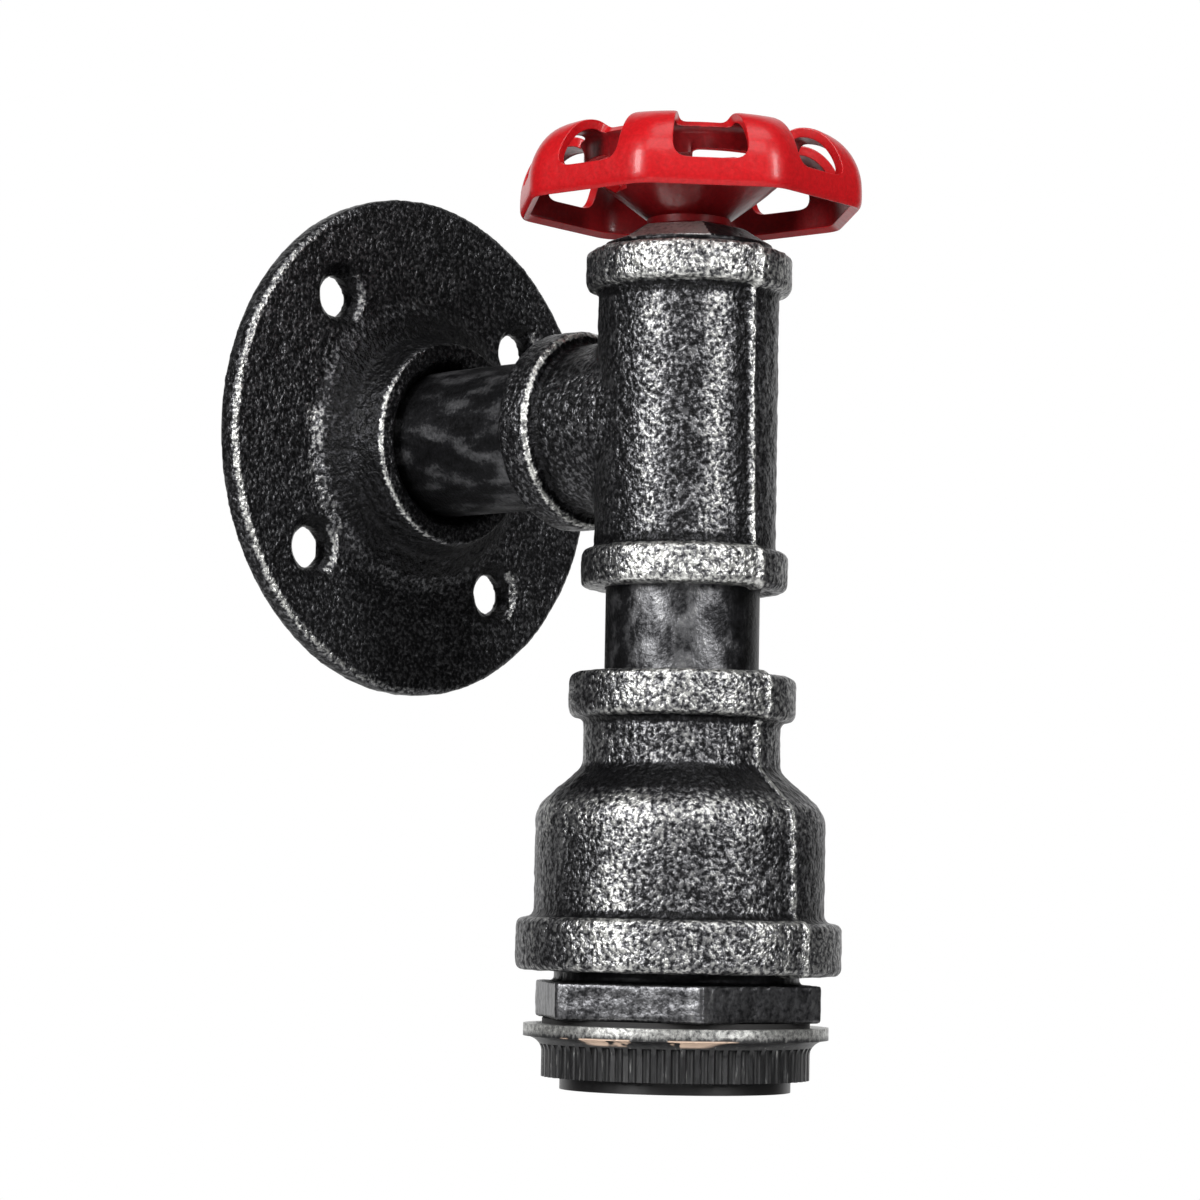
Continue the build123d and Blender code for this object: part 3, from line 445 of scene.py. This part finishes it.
def rubbed_pipe(stretch, blotches, painted_light=None, shift=(0.0, 0.0)):
    """Black drawn pipe with soft silver blotches and fine streaks along its axis.

    blotches is how much silver is left in the 5 mm blotches. shift is the painted
    highlight added near the lit point, a point in mm level with the axis, and the painted
    shade added away from it.
    """
    fine_share = 0.3
    highlight_reach = (5, 14)
    black_to_silver = [
        (0.24, "#101011"),
        (0.4, "#262628"),
        (0.62, "#6c6c6e"),
        (1.0, "#c4c4c2"),
    ]

    def build(tree):
        along = millimetres(tree, stretch)
        even = millimetres(tree)
        blotch = add(
            tree,
            "TexNoise",
            {"Vector": along, "Scale": 0.3, "Detail": 1, "Roughness": 0.4},
        )
        streak = add(
            tree,
            "TexNoise",
            {"Vector": along, "Scale": 0.9, "Detail": 3, "Roughness": 0.6},
        )
        grain = add(
            tree,
            "TexNoise",
            {"Vector": even, "Scale": 1.6, "Detail": 2, "Roughness": 0.6},
        )
        fine = add(tree, "Math", {0: grain, 1: streak}, operation="ADD")
        soft = add(
            tree,
            "MapRange",
            {"Value": blotch, "From Min": 0.36, "From Max": 0.74, "To Max": blotches},
            interpolation_type="SMOOTHSTEP",
        )
        rubbed = add(
            tree, "Math", {0: fine, 1: fine_share, 2: soft}, operation="MULTIPLY_ADD"
        )
        # A painted highlight near the lit point, and painted shade away from it.
        if painted_light:
            level = add(tree, "VectorMath", {0: even, 1: (1, 1, 0)}, operation="MULTIPLY")
            away = add(tree, "VectorMath", {0: level, 1: painted_light}, operation="DISTANCE")
            more = add(
                tree,
                "MapRange",
                {
                    "Value": away,
                    "From Min": highlight_reach[0],
                    "From Max": highlight_reach[1],
                    "To Min": shift[0],
                    "To Max": shift[1],
                },
            )
            rubbed = add(tree, "Math", {0: rubbed, 1: more}, operation="ADD")
        colour = add(tree, "ValToRGB", {"Fac": rubbed}, stops=black_to_silver)
        bump = add(tree, "Bump", {"Height": fine, "Strength": 0.7, "Distance": 0.16 * MM})
        return add(
            tree,
            "BsdfPrincipled",
            {
                "Base Color": colour,
                "Metallic": 0.8,
                "Roughness": 0.42,
                "Specular IOR Level": 0.4,
                "Normal": bump,
            },
        )

    return build


wall_pipe_finish = rubbed_pipe((1, 0.4, 1), 0.24)
drop_pipe_finish = rubbed_pipe((1, 1, 0.8), 0.22, drop_lit_point, (0.14, -0.08))
coat("wall_nipple", finish("black_pipe_rubbed_along_y", wall_pipe_finish))
coat("drop_nipple", finish("black_pipe_rubbed_along_z", drop_pipe_finish))

# ------------------------------------------------------------------------- tee
# Malleable iron tee, cast in two mould halves: their seam runs down its front.
# The brush left the most silver on the three raised bands. Upright painted highlights run
# down the column's front, and painted shade down its left.
tee_low, tee_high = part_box("pipe_tee")
tee_band_radius = tee_high.x / MM
tee_half_run = tee_high.z / MM
tee_band_height = 6.9
tee_branch_face = -tee_high.y / MM
branch_band_front = tee_branch_face + tee_band_height
seam_height = 0.4
seam_width = 0.45
seam_slant = -0.02
slip_move = Vector((0.18, -0.4, -0.35)) * MM
slip_width = 0.5
front_depth = 10
# Turns and widths of the column's two upright painted highlights, and where painted shade
# on its left begins, in degrees.
highlight_turns = (199, 242)
highlight_widths = (10, 9)
shaded_turn = 190
pipe_bore = 14.6


def seam_offset(point):
    """How far a point lies to the right of the mould's seam, in millimetres."""
    return (point.x - (point.z - tee_low.z) * seam_slant) / MM


def front_seam(point):
    """Height of the mould's seam, a thin ridge on the side away from the wall."""
    if point.y > column_y - front_depth * MM:
        return 0.0
    return seam_height * math.exp(-((seam_offset(point) / seam_width) ** 2))


def front_slip(point):
    """The right half of the mould slipped forward and down by under a millimetre."""
    fade_depth = 8 * MM
    across = min(max(seam_offset(point) / slip_width + 0.5, 0.0), 1.0)
    forward = min(max((column_y + fade_depth - point.y) / fade_depth, 0.0), 1.0)
    return slip_move * across * forward


def seam_rub(point):
    """Silver on the mould's seam."""
    return 0.85 * front_seam(point) / seam_height


def turn_on_column(point):
    """Direction of a point from the column's axis, in degrees from 0 to 360."""
    return math.degrees(math.atan2(point.y - column_y, point.x)) % 360


def upright_highlights(point, left, right):
    """Painted highlights: silver added in two upright stripes beside the middle of the
    front, where the left and front lamps shine.
    """
    turn = turn_on_column(point)
    return sum(
        silver * math.exp(-(((turn - middle) / width) ** 2))
        for silver, middle, width in zip((left, right), highlight_turns, highlight_widths)
    )


def band_rub_and_shade(inside, height):
    """Silver on a band, by how far inside its edge a point lies and the band's height."""
    edge = 0.9
    # Just off the band, at its root: painted shade.
    if inside < -0.1:
        return 0.08
    return 0.72 if inside < edge or inside > height - edge else 0.62


def left_shade(point):
    """1 at the left of the column, which is painted in shade, and 0 at its front."""
    return min(max((shaded_turn - turn_on_column(point)) / 14, 0.0), 1.0)


def tee_run_rub_and_light(point):
    """The tee's column: speckled body with upright painted highlights, and a bright band
    each end.

    Painted shade darkens the body just left of the seam, and the bands right of it.
    """
    band_root = 1.6
    inside = abs(point.z) / MM - (tee_half_run - tee_band_height)
    in_front = point.y < column_y
    if inside < -band_root:
        shaded = in_front and -3.2 < seam_offset(point) < -0.7
        return 0.27 + upright_highlights(point, 0.2, 0.25) - (0.16 if shaded else 0.0)
    if inside <= 0:
        return band_rub_and_shade(inside, tee_band_height)
    # Right of the seam at the front, the bands are dulled by painted shade.
    if in_front and seam_offset(point) > 0.6:
        return 0.56 if point.z > 0 else 0.46
    # Painted highlights on the bands, less painted shade on the column's left.
    painted_light = upright_highlights(point, 0.08, 0.04) - 0.2 * left_shade(point)
    return band_rub_and_shade(inside, tee_band_height) + painted_light


def tee_branch_rub_and_light(point):
    """The tee's branch: a band that is bright on its front edge alone, and painted shade
    at its root.
    """
    along = -point.y / MM
    radius = math.hypot(point.x, point.z) / MM
    if along < branch_band_front + 0.3 and radius > tee_band_radius - 1.1:
        return 0.8 if along > branch_band_front - 0.8 else 0.27
    return 0.06 if along < branch_band_front + 1.5 else 0.25


def tee_rub_and_light(point, normal):
    """Silver on the tee's column, its branch and the mould's seam, with painted highlights
    and painted shade.
    """
    in_column = around_column(point) < tee_band_radius + 0.6
    past_branch = -point.y / MM > tee_branch_face + 8
    rub_and_light = tee_run_rub_and_light(point) if in_column and past_branch else tee_branch_rub_and_light(point)
    return max(rub_and_light, seam_rub(point))


tee = casting(
    "pipe_tee_cast",
    "pipe_tee",
    tee_rub_and_light,
    skin=0.14,
    seam=front_seam,
    slip=front_slip,
    bore=pipe_bore,
)
dress(tee, iron, "fixture", "malleable_iron", "pipe_tee")

# --------------------------------------------------------------------- top plug
# Malleable iron plug that closes the tee, with a low tapered hexagon. Its finer
# skin is black with a trace of silver and shines more evenly. The facet of the
# hexagon that faces the light at the front's left carries a painted highlight.
plug_bore = 7.0
lit_facet_turns = (180, 238)


def plug_rub_and_light(point, normal):
    """Nearly black, with a painted highlight on the facet to the front's left."""
    height = (point.z - tee_high.z) / MM
    turn = math.degrees(math.atan2(normal.y, normal.x)) % 360
    on_slope = 0.25 < normal.z < 0.97
    # The facet facing the light at the front's left: painted highlight.
    if height > 0.3 and on_slope and lit_facet_turns[0] < turn < lit_facet_turns[1]:
        return 0.95
    return 0.25 if height > 0.6 else 0.12


smoother_iron = finish("smoother_iron_rubbed_silver", rubbed_iron(0.1, 0.08, 0.36))
plug = casting(
    "top_plug_cast", "top_plug", plug_rub_and_light, skin=0.06, voxel=0.35, bore=plug_bore
)
dress(plug, smoother_iron, "fixture", "malleable_iron", "top_plug")

# -------------------------------------------------------------------- handwheel
# Handwheel pressed from one steel sheet and dipped in red enamel: an eight-sided
# rim, eight arched fingers with windows between them, an inner hoop and a slotted
# cone down to the hub, which turns on a bolt in the plug.
wheel_low, wheel_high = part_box("handwheel")
wheel_base = wheel_low.z / MM
sheet = 1.7
rim_radius = 30.7
rim_round = 6.0
rim_bottom = 2.6
rim_top = 7.3
crest_radius = 20.6
crest_height = (wheel_high.z - wheel_low.z) / MM
arch_height = 10.8
arch_base = crest_height - arch_height
arch_points = 15
inner_bend = 3.8
bend_points = 8
hoop_bore = crest_radius - inner_bend
hoop_bottom = 10.8
hoop_top = 15.2
hub_radius = 7.3
hub_thickness = 2.6
hub_bore = 4.06
hub_side = 1.6
hub_edge = 0.3
hub_steps = 96
cone_foot = 5.9
cone_rows = 9
finger_count = 8
finger_angle = 26.5
window_angle = finger_angle + 180 / finger_count
steps_per_panel = 28
window_steps = 16
window_corner = 2.2
window_smoothings = 4
slot_count = 4
slot_angle = 63.0
slot_middle = 15.4
slot_half_arc = 10.0
slot_half_width = 3.0
edge_round = 0.7


def off_middle(point, first, count):
    """Angle from the middle of the nearest of count parts, the first one at an angle."""
    step = 360 / count
    turn = math.degrees(math.atan2(point.y - column_y, point.x)) - first
    return (turn + step / 2) % step - step / 2


def rim_outline(turn):
    """Radius of the round-cornered eight-sided rim, at an angle off a side's middle."""
    half_step = math.radians(180 / finger_count)
    corner = rim_radius - rim_round
    flat = corner * math.cos(half_step) + rim_round
    half_flat = corner * math.sin(half_step)
    turn = abs(math.radians(turn))
    if flat * math.tan(turn) < half_flat:
        return flat / math.cos(turn)
    off = half_step - turn
    return corner * math.cos(off) + math.sqrt(rim_round**2 - (corner * math.sin(off)) ** 2)


def spun(profile, steps, closed=False):
    """A bmesh turned round the column from radii and heights in mm above the wheel."""
    bm = bmesh.new()
    corners = [bm.verts.new((r * MM, column_y, (wheel_base + z) * MM)) for r, z in profile]
    following = corners[1:] + corners[:1] if closed else corners[1:]
    for first, second in zip(corners, following):
        bm.edges.new((first, second))
    bmesh.ops.spin(
        bm,
        geom=bm.verts[:] + bm.edges[:],
        cent=(0, column_y, 0),
        axis=(0, 0, 1),
        angle=math.tau,
        steps=steps,
        use_merge=True,
    )
    bmesh.ops.remove_doubles(bm, verts=bm.verts, dist=0.01 * MM)
    return bm


def wheel_profile():
    """The sheet's outer face, from the rim's curled edge over the crest to the hub."""
    profile = [
        (rim_radius - 0.6, rim_bottom),
        (rim_radius - 0.25, rim_bottom + 0.5),
        (rim_radius - 0.06, rim_bottom + 1.1),
        (rim_radius, rim_bottom + 1.9),
        (rim_radius, arch_base),
    ]
    arch_start = math.asin((rim_top - arch_base) / arch_height)
    arch_width = rim_radius - crest_radius
    for step in range(arch_points + 1):
        angle = arch_start + (math.pi / 2 - arch_start) * step / arch_points
        radius = crest_radius + arch_width * math.cos(angle)
        profile.append((radius, arch_base + arch_height * math.sin(angle)))
    for step in range(1, bend_points + 1):
        angle = math.pi / 2 * step / bend_points
        radius = crest_radius - inner_bend * math.sin(angle)
        profile.append((radius, crest_height - inner_bend * (1 - math.cos(angle))))
    profile += [(hoop_bore, hoop_bottom + 1.2), (hoop_bore, hoop_bottom)]
    for step in range(1, cone_rows + 1):
        part = step / cone_rows
        radius = hoop_bore + (cone_foot - hoop_bore) * part
        profile.append((radius, hoop_bottom + (hub_thickness - hoop_bottom) * part))
    profile.append((hub_radius - 2, hub_thickness))
    return profile


def in_window(middle, radius, height):
    """Whether a face of the arch or the hoop lies in a window with round corners."""
    half_window = window_steps / 2 * 360 / finger_count / steps_per_panel
    off = abs(off_middle(middle, window_angle, finger_count))
    above = height - rim_top if radius > crest_radius else window_corner
    into_corner = max(window_corner - above, 0.0)
    inset = window_corner - math.sqrt(window_corner**2 - into_corner**2)
    return math.radians(off) * radius < math.radians(half_window) * radius - inset


def in_slot(middle, radius):
    """Whether a face of the cone lies in one of its long round-ended slots."""
    off = abs(off_middle(middle, slot_angle, slot_count))
    along = math.radians(max(off - slot_half_arc, 0.0)) * radius
    return math.hypot(along, radius - slot_middle) < slot_half_width


def is_open(face):
    """Whether a face of the turned sheet is cut out."""
    middle = face.calc_center_median()
    radius = around_column(middle)
    height = middle.z / MM - wheel_base
    lowest = rim_top if radius > crest_radius else hoop_top
    if radius > hoop_bore - 0.1 and height > lowest:
        return in_window(middle, radius, height)
    return radius < hoop_bore and height < hoop_bottom and in_slot(middle, radius)


bm = spun(wheel_profile(), steps_per_panel * finger_count)
bmesh.ops.rotate(
    bm,
    verts=bm.verts,
    cent=(0, column_y, 0),
    matrix=Matrix.Rotation(math.radians(finger_angle), 3, "Z"),
)
bmesh.ops.recalc_face_normals(bm, faces=bm.faces)
bmesh.ops.delete(bm, geom=[f for f in bm.faces if is_open(f)], context="FACES")
loose = [v for v in bm.verts if not v.link_faces]
bmesh.ops.delete(bm, geom=loose, context="VERTS")

# The rim is pulled in from round to eight-sided, the less the nearer to the crest.
for vertex in bm.verts:
    radius = around_column(vertex.co)
    share = min(max((radius - crest_radius) / (rim_radius - crest_radius), 0.0), 1.0)
    share = share * share * (3 - 2 * share)
    turn = off_middle(vertex.co, window_angle, finger_count)
    squeeze = 1 + share * (rim_outline(turn) / rim_radius - 1)
    vertex.co.x *= squeeze
    vertex.co.y = column_y + (vertex.co.y - column_y) * squeeze

# The windows' and slots' stepped edges are smoothed along themselves.
lowest_cut = (wheel_base + rim_bottom + 2) * MM
cut_edge = [v for v in bm.verts if v.is_boundary and v.co.z > lowest_cut]
for smoothing in range(window_smoothings):
    moved = {}
    for vertex in cut_edge:
        beside = [e.other_vert(vertex).co for e in vertex.link_edges if e.is_boundary]
        moved[vertex] = vertex.co * 0.5 + (beside[0] + beside[1]) * 0.25
    for vertex, place in moved.items():
        vertex.co = place

foot = Vector((0, column_y, wheel_base * MM))
if sum(f.normal.dot(f.calc_center_median() - foot) for f in bm.faces) < 0:
    bmesh.ops.reverse_faces(bm, faces=bm.faces)
for face in bm.faces:
    face.smooth = True
wheel = mesh_piece("handwheel_pressed", bm)
thick = wheel.modifiers.new("sheet_thickness", "SOLIDIFY")
thick.thickness = sheet * MM
thick.offset = -1
thick.use_even_offset = True
# The sheet's inner faces take the second material, the darker red of painted shade.
thick.material_offset = 1
thin_edge = wheel.modifiers.new("rounded_edges", "BEVEL")
thin_edge.width = edge_round * MM
thin_edge.segments = 3
thin_edge.limit_method = "ANGLE"
thin_edge.angle_limit = math.radians(50)
thin_edge.harden_normals = True

# The hub: a turned ring welded in the cone's foot.
hub_profile = [
    (hub_bore, 0.0),
    (hub_radius - hub_edge, 0.0),
    (hub_radius, hub_edge),
    (hub_radius, hub_side),
    (cone_foot, hub_thickness),
    (hub_bore, hub_thickness),
]
bm = spun(hub_profile, hub_steps, closed=True)
bmesh.ops.recalc_face_normals(bm, faces=bm.faces)
hub = mesh_piece("handwheel_hub", bm)


def red_enamel(deep, bright):
    """Glossy red enamel, with the slight orange peel of dipping, 2 to 3 mm across."""
    dust_share = 0.15
    peel_height = 0.35 * MM

    def build(tree):
        where = millimetres(tree)
        peel = add(
            tree,
            "TexNoise",
            {"Vector": where, "Scale": 0.45, "Detail": 2, "Roughness": 0.4},
        )
        dust = add(
            tree,
            "TexNoise",
            {"Vector": where, "Scale": 1.6, "Detail": 3, "Roughness": 0.6},
        )
        colour = add(tree, "ValToRGB", {"Fac": dust}, stops=[(0.3, deep), (0.7, bright)])
        heights = add(
            tree, "Math", {0: dust, 1: dust_share, 2: peel}, operation="MULTIPLY_ADD"
        )
        bump = add(
            tree, "Bump", {"Height": heights, "Strength": 0.3, "Distance": peel_height}
        )
        return add(
            tree,
            "BsdfPrincipled",
            {
                "Base Color": colour,
                "Roughness": 0.34,
                "Specular IOR Level": 0.3,
                "Coat Weight": 0.12,
                "Coat Roughness": 0.08,
                "Normal": bump,
            },
        )

    return build


# Inside the wheel and on the hub the red is darker: painted shade.
enamel = finish("glossy_red_enamel", red_enamel("#980a0f", "#b20e15"))
shaded_red_enamel = finish("red_enamel_painted_shade_inside", red_enamel("#5e080c", "#760b10"))
dress(wheel, enamel, "handwheel", "red_enamel", "handwheel")
wheel.data.materials.append(shaded_red_enamel)
dress(hub, shaded_red_enamel, "handwheel", "red_enamel", "handwheel")

# ---------------------------------------------------------- bolts, nuts and plate
# Zinc-plated steel, as bought: the handwheel's bolt, washer and nut, the rod and
# the plate that carry the lampholder, and every screw.


def bright_zinc(tree):
    """Zinc plate: bright, faintly blue, with fine crystals that dull it."""
    crystals = add(
        tree, "TexNoise", {"Vector": millimetres(tree), "Scale": 2.5, "Detail": 3}
    )
    colour = add(
        tree, "ValToRGB", {"Fac": crystals}, stops=[(0.3, "#a9adb2"), (0.7, "#ced1d5")]
    )
    rough = add(tree, "MapRange", {"Value": crystals, "To Min": 0.25, "To Max": 0.42})
    return add(
        tree,
        "BsdfPrincipled",
        {"Base Color": colour, "Metallic": 1.0, "Roughness": rough},
    )


zinc = finish("bright_zinc_plate", bright_zinc)
for name in (
    "wheel_bolt",
    "wheel_washer",
    "wheel_lock_nut",
    "cap_grub_screw",
    "hollow_rod",
    "mounting_plate",
    "rod_nuts",
    "insert_screws",
    "terminal_screws",
    "connector_screws",
):
    coat(name, zinc)

# --------------------------------------------------------------- reducing socket
# Bell-shaped malleable iron socket, 1 1/4 to 3/4 inch, with a band at each
# mouth, a seam down its front and the silver rubbed in upright streaks.
socket_low, socket_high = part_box("reducing_socket")
top_band_height = 7.8
foot_band_height = 9.0
top_band_bottom = socket_high.z / MM - top_band_height
foot_band_top = socket_low.z / MM + foot_band_height
shoulder_root = socket_high.z / MM - 17.6
streak_length = 16 * MM
streaks_per_radian = 14
# Widths of the painted shade at the bands' roots and round the shoulder's root, in mm.
neck_root = 1.4
foot_root = 1.2
dark_above_root = 1.8
dark_below_root = 2.6


def shoulder_rub_and_light(point, streak):
    """The bell's shoulder: painted shade at its root, brightest 6 mm below it, with
    upright painted highlights.
    """
    below = shoulder_root - point.z / MM
    fade = min((below - dark_below_root) / 2.0, 1.0)
    crest = math.exp(-(((below - 6) / 4) ** 2))
    rub_and_light = 0.1 + 0.24 * fade + 0.13 * streak + 0.18 * crest
    return rub_and_light + upright_highlights(point, 0.2, 0.06)


def socket_rub_and_light(point, normal):
    """Bright bands, painted shade at the neck root and the shoulder root, a bright
    streaked shoulder, and painted shade right of the seam.
    """
    height = point.z / MM
    turn = math.atan2(point.y - column_y, point.x)
    streak = noise.noise(Vector((turn * streaks_per_radian, 0.0, point.z / streak_length)))
    # The front right of the seam is darkened as painted shade.
    right_half = seam_offset(point) > 0.6 and point.y < column_y
    if height > top_band_bottom:
        rub_and_light = band_rub_and_shade(height - top_band_bottom, top_band_height) - 0.06
        rub_and_light -= 0.16 * left_shade(point)
    elif height > top_band_bottom - neck_root:
        rub_and_light = 0.06
    elif height < foot_band_top:
        rub_and_light = band_rub_and_shade(foot_band_top - height, foot_band_height) - 0.14 + 0.12 * streak
        rub_and_light += upright_highlights(point, 0.16, 0.0) - 0.12 * left_shade(point)
    elif height < foot_band_top + foot_root:
        rub_and_light = 0.1
    elif height > shoulder_root + dark_above_root:
        rub_and_light = 0.38
    elif height > shoulder_root - dark_below_root:
        rub_and_light = 0.03
    else:
        rub_and_light = shoulder_rub_and_light(point, streak) - (0.12 if right_half else 0.0)
    if right_half and rub_and_light > 0.5:
        rub_and_light = 0.46
    return max(rub_and_light, seam_rub(point))


socket = casting(
    "reducing_socket_cast",
    "reducing_socket",
    socket_rub_and_light,
    skin=0.14,
    voxel=0.5,
    seam=front_seam,
    slip=front_slip,
    bore=pipe_bore,
)
dress(socket, iron, "fixture", "malleable_iron", "reducing_socket")

# ------------------------------------------------------------------- hex bushing
# Hexagon bushing screwed into the socket's mouth: cast iron with the plug's finer
# skin, and facets left as cast.
hexagon_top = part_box("hex_bushing")[0].z + 6.3 * MM
corner_start = 25.2
bushing_bore = 18.5


def bushing_rub(point, normal):
    """Grey facets, with silver on their corners, and a black thread above them."""
    if point.z > hexagon_top:
        return 0.14
    return 0.36 if around_column(point) < corner_start else 0.46


bushing = casting(
    "hex_bushing_cast", "hex_bushing", bushing_rub, skin=0.09, bore=bushing_bore
)
dress(bushing, smoother_iron, "fixture", "malleable_iron", "hex_bushing")

# ------------------------------------------------------- shade ring and its washer
# Fluted metal ring on the holder's thread, black with a rubbed silver lip, and
# the fibre washer above it, a dull, fibrous black.
lip_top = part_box("shade_ring")[1].z / MM
# Below these heights the lip's silver fades: painted shade on its lower edge.
lip_fade = (lip_top - 2.2, lip_top - 1.2)
sealant_height = lip_top - 2.5
sealant_half = (0.4, 0.7)
sealant_reach = (21.2, 22.2)
sealant_turn = math.radians(210)


def sealant_share(tree, where, height):
    """1 where sealant has run out: in runs, at one height, on the front's left."""
    off = add(tree, "Math", {0: height, 1: sealant_height}, operation="SUBTRACT")
    apart = add(tree, "Math", {0: off}, operation="ABSOLUTE")
    near = add(
        tree,
        "MapRange",
        {
            "Value": apart,
            "From Min": sealant_half[0],
            "From Max": sealant_half[1],
            "To Min": 1.0,
            "To Max": 0.0,
        },
    )
    run = add(tree, "TexNoise", {"Vector": where, "Scale": 0.22, "Detail": 2})
    there = add(tree, "MapRange", {"Value": run, "From Min": 0.44, "From Max": 0.48})
    axis = (0, column_y / MM, 0)
    from_axis = add(tree, "VectorMath", {0: where, 1: axis}, operation="SUBTRACT")
    front_left = (math.cos(sealant_turn), math.sin(sealant_turn), 0)
    sideways = add(
        tree, "VectorMath", {0: from_axis, 1: front_left}, operation="DOT_PRODUCT"
    )
    sector = add(
        tree,
        "MapRange",
        {"Value": sideways, "From Min": sealant_reach[0], "From Max": sealant_reach[1]},
    )
    spot = add(tree, "Math", {0: near, 1: there}, operation="MULTIPLY")
    return add(tree, "Math", {0: spot, 1: sector}, operation="MULTIPLY")


def ring_finish(tree):
    """Black lacquer on turned metal, rubbed silver on the lip and along the flutes.

    A beige trace of sealant has run out under the lip at the front's left.
    """
    black_to_silver = [
        (0.35, "#121213"),
        (0.5, "#2a2a2b"),
        (0.62, "#8e8e8c"),
        (0.85, "#e8e8e4"),
    ]
    where = millimetres(tree)
    upright = millimetres(tree, (1, 1, 0.12))
    height = add(tree, "SeparateXYZ", {0: where}).outputs["Z"]
    grain = add(
        tree, "TexNoise", {"Vector": where, "Scale": 1.2, "Detail": 4, "Roughness": 0.7}
    )
    streak = add(
        tree, "TexNoise", {"Vector": upright, "Scale": 1.6, "Detail": 3, "Roughness": 0.6}
    )
    # Silver on the lip, fading into painted shade at its lower edge.
    lip = add(
        tree,
        "MapRange",
        {"Value": height, "From Min": lip_fade[0], "From Max": lip_fade[1]},
    )
    mixed = add(tree, "Mix", {"Factor": lip, "A": streak, "B": grain})
    raised = add(tree, "MapRange", {"Value": lip, "To Min": -0.14, "To Max": 0.18})
    amount = add(tree, "Math", {0: mixed, 1: raised}, operation="ADD")
    colour = add(tree, "ValToRGB", {"Fac": amount}, stops=black_to_silver)
    sealant = sealant_share(tree, where, height)
    tinted = add(
        tree,
        "Mix",
        {"Factor": sealant, "A": colour, "B": hexa("#dcc0aa")},
        data_type="RGBA",
    )
    metal = add(
        tree,
        "MapRange",
        {"Value": amount, "From Min": 0.45, "From Max": 0.65, "To Max": 0.85},
    )
    bump = add(tree, "Bump", {"Height": amount, "Strength": 0.5, "Distance": 0.15 * MM})
    return add(
        tree,
        "BsdfPrincipled",
        {"Base Color": tinted, "Metallic": metal, "Roughness": 0.38, "Normal": bump},
    )


coat("shade_ring", finish("lacquered_ring_rubbed_silver", ring_finish))


def plain(base, roughness, metallic=0.0, fleck=0.12, size=1.5):
    """An even material whose colour and surface vary a little at a size in mm."""
    dulling = 0.06

    def build(tree):
        where = millimetres(tree)
        spots = add(
            tree,
            "TexNoise",
            {"Vector": where, "Scale": 1 / size, "Detail": 4, "Roughness": 0.6},
        )
        light = add(
            tree, "MapRange", {"Value": spots, "To Min": 1 - fleck, "To Max": 1 + fleck}
        )
        colour = add(
            tree, "VectorMath", {0: hexa(base)[:3], "Scale": light}, operation="SCALE"
        )
        rough = add(
            tree,
            "MapRange",
            {"Value": spots, "To Min": roughness - dulling, "To Max": roughness + dulling},
        )
        bump = add(tree, "Bump", {"Height": spots, "Strength": 0.4, "Distance": 0.03 * MM})
        return add(
            tree,
            "BsdfPrincipled",
            {
                "Base Color": colour,
                "Metallic": metallic,
                "Roughness": rough,
                "Normal": bump,
            },
        )

    return build


coat("ring_washer", finish("vulcanised_fibre", plain("#171616", 0.7, fleck=0.3, size=0.8)))

# -------------------------------------------------------------------- lampholder
# E27 lampholder, screwed to the hollow rod. Its moulded phenolic body and cap are
# black and half dull, the insert is glazed porcelain, cream and glossy, and the
# drawn brass shell and bronze contact are warm bright metals, as are the terminals.
phenolic = finish("black_phenolic", plain("#121112", 0.38, fleck=0.25, size=3.0))
drawn_brass = plain("#c9a35a", 0.3, metallic=1.0, size=2.5)
porcelain = plain("#ece9df", 0.14, fleck=0.04, size=4.0)
bronze = plain("#c58a56", 0.32, metallic=1.0, size=2.0)
coat("holder_body", phenolic)
coat("holder_cap", phenolic)
coat("screw_shell", finish("drawn_brass", drawn_brass))
coat("ceramic_insert", finish("glazed_porcelain", porcelain))
coat("centre_contact", finish("phosphor_bronze", bronze))
brass = finish("machined_brass", plain("#c8a558", 0.26, metallic=1.0, size=1.2))
for name in ("live_terminal", "neutral_terminal", "earth_tag", "connector_barrels"):
    coat(name, brass)

# ------------------------------------------------------------ connector and leads
# Three-pole connector in the wall pipe, moulded in milky nylon, and the leads from
# it to the terminals, in silicone sleeves with a soft, half dull skin.
nylon = plain("#dcd8c8", 0.5, fleck=0.05, size=2.5)
coat("connector_block", finish("natural_nylon", nylon))
coat("live_lead", finish("brown_silicone", plain("#5a3420", 0.5, size=2.0)))
coat("neutral_lead", finish("blue_silicone", plain("#2458a8", 0.5, size=2.0)))


def earth_sleeve(tree):
    """Green silicone with a yellow stripe along each side of the lead."""
    stripe_edge = (0.5, 0.6)
    across = add(tree, "SeparateXYZ", {0: millimetres(tree)}).outputs["X"]
    side = add(tree, "Math", {0: across}, operation="ABSOLUTE")
    stripe = add(
        tree,
        "MapRange",
        {"Value": side, "From Min": stripe_edge[0], "From Max": stripe_edge[1]},
    )
    colour = add(
        tree, "ValToRGB", {"Fac": stripe}, stops=[(0.4, "#2f8f3a"), (0.6, "#e0cf28")]
    )
    return add(tree, "BsdfPrincipled", {"Base Color": colour, "Roughness": 0.5})


coat("earth_lead", finish("green_and_yellow_silicone", earth_sleeve))
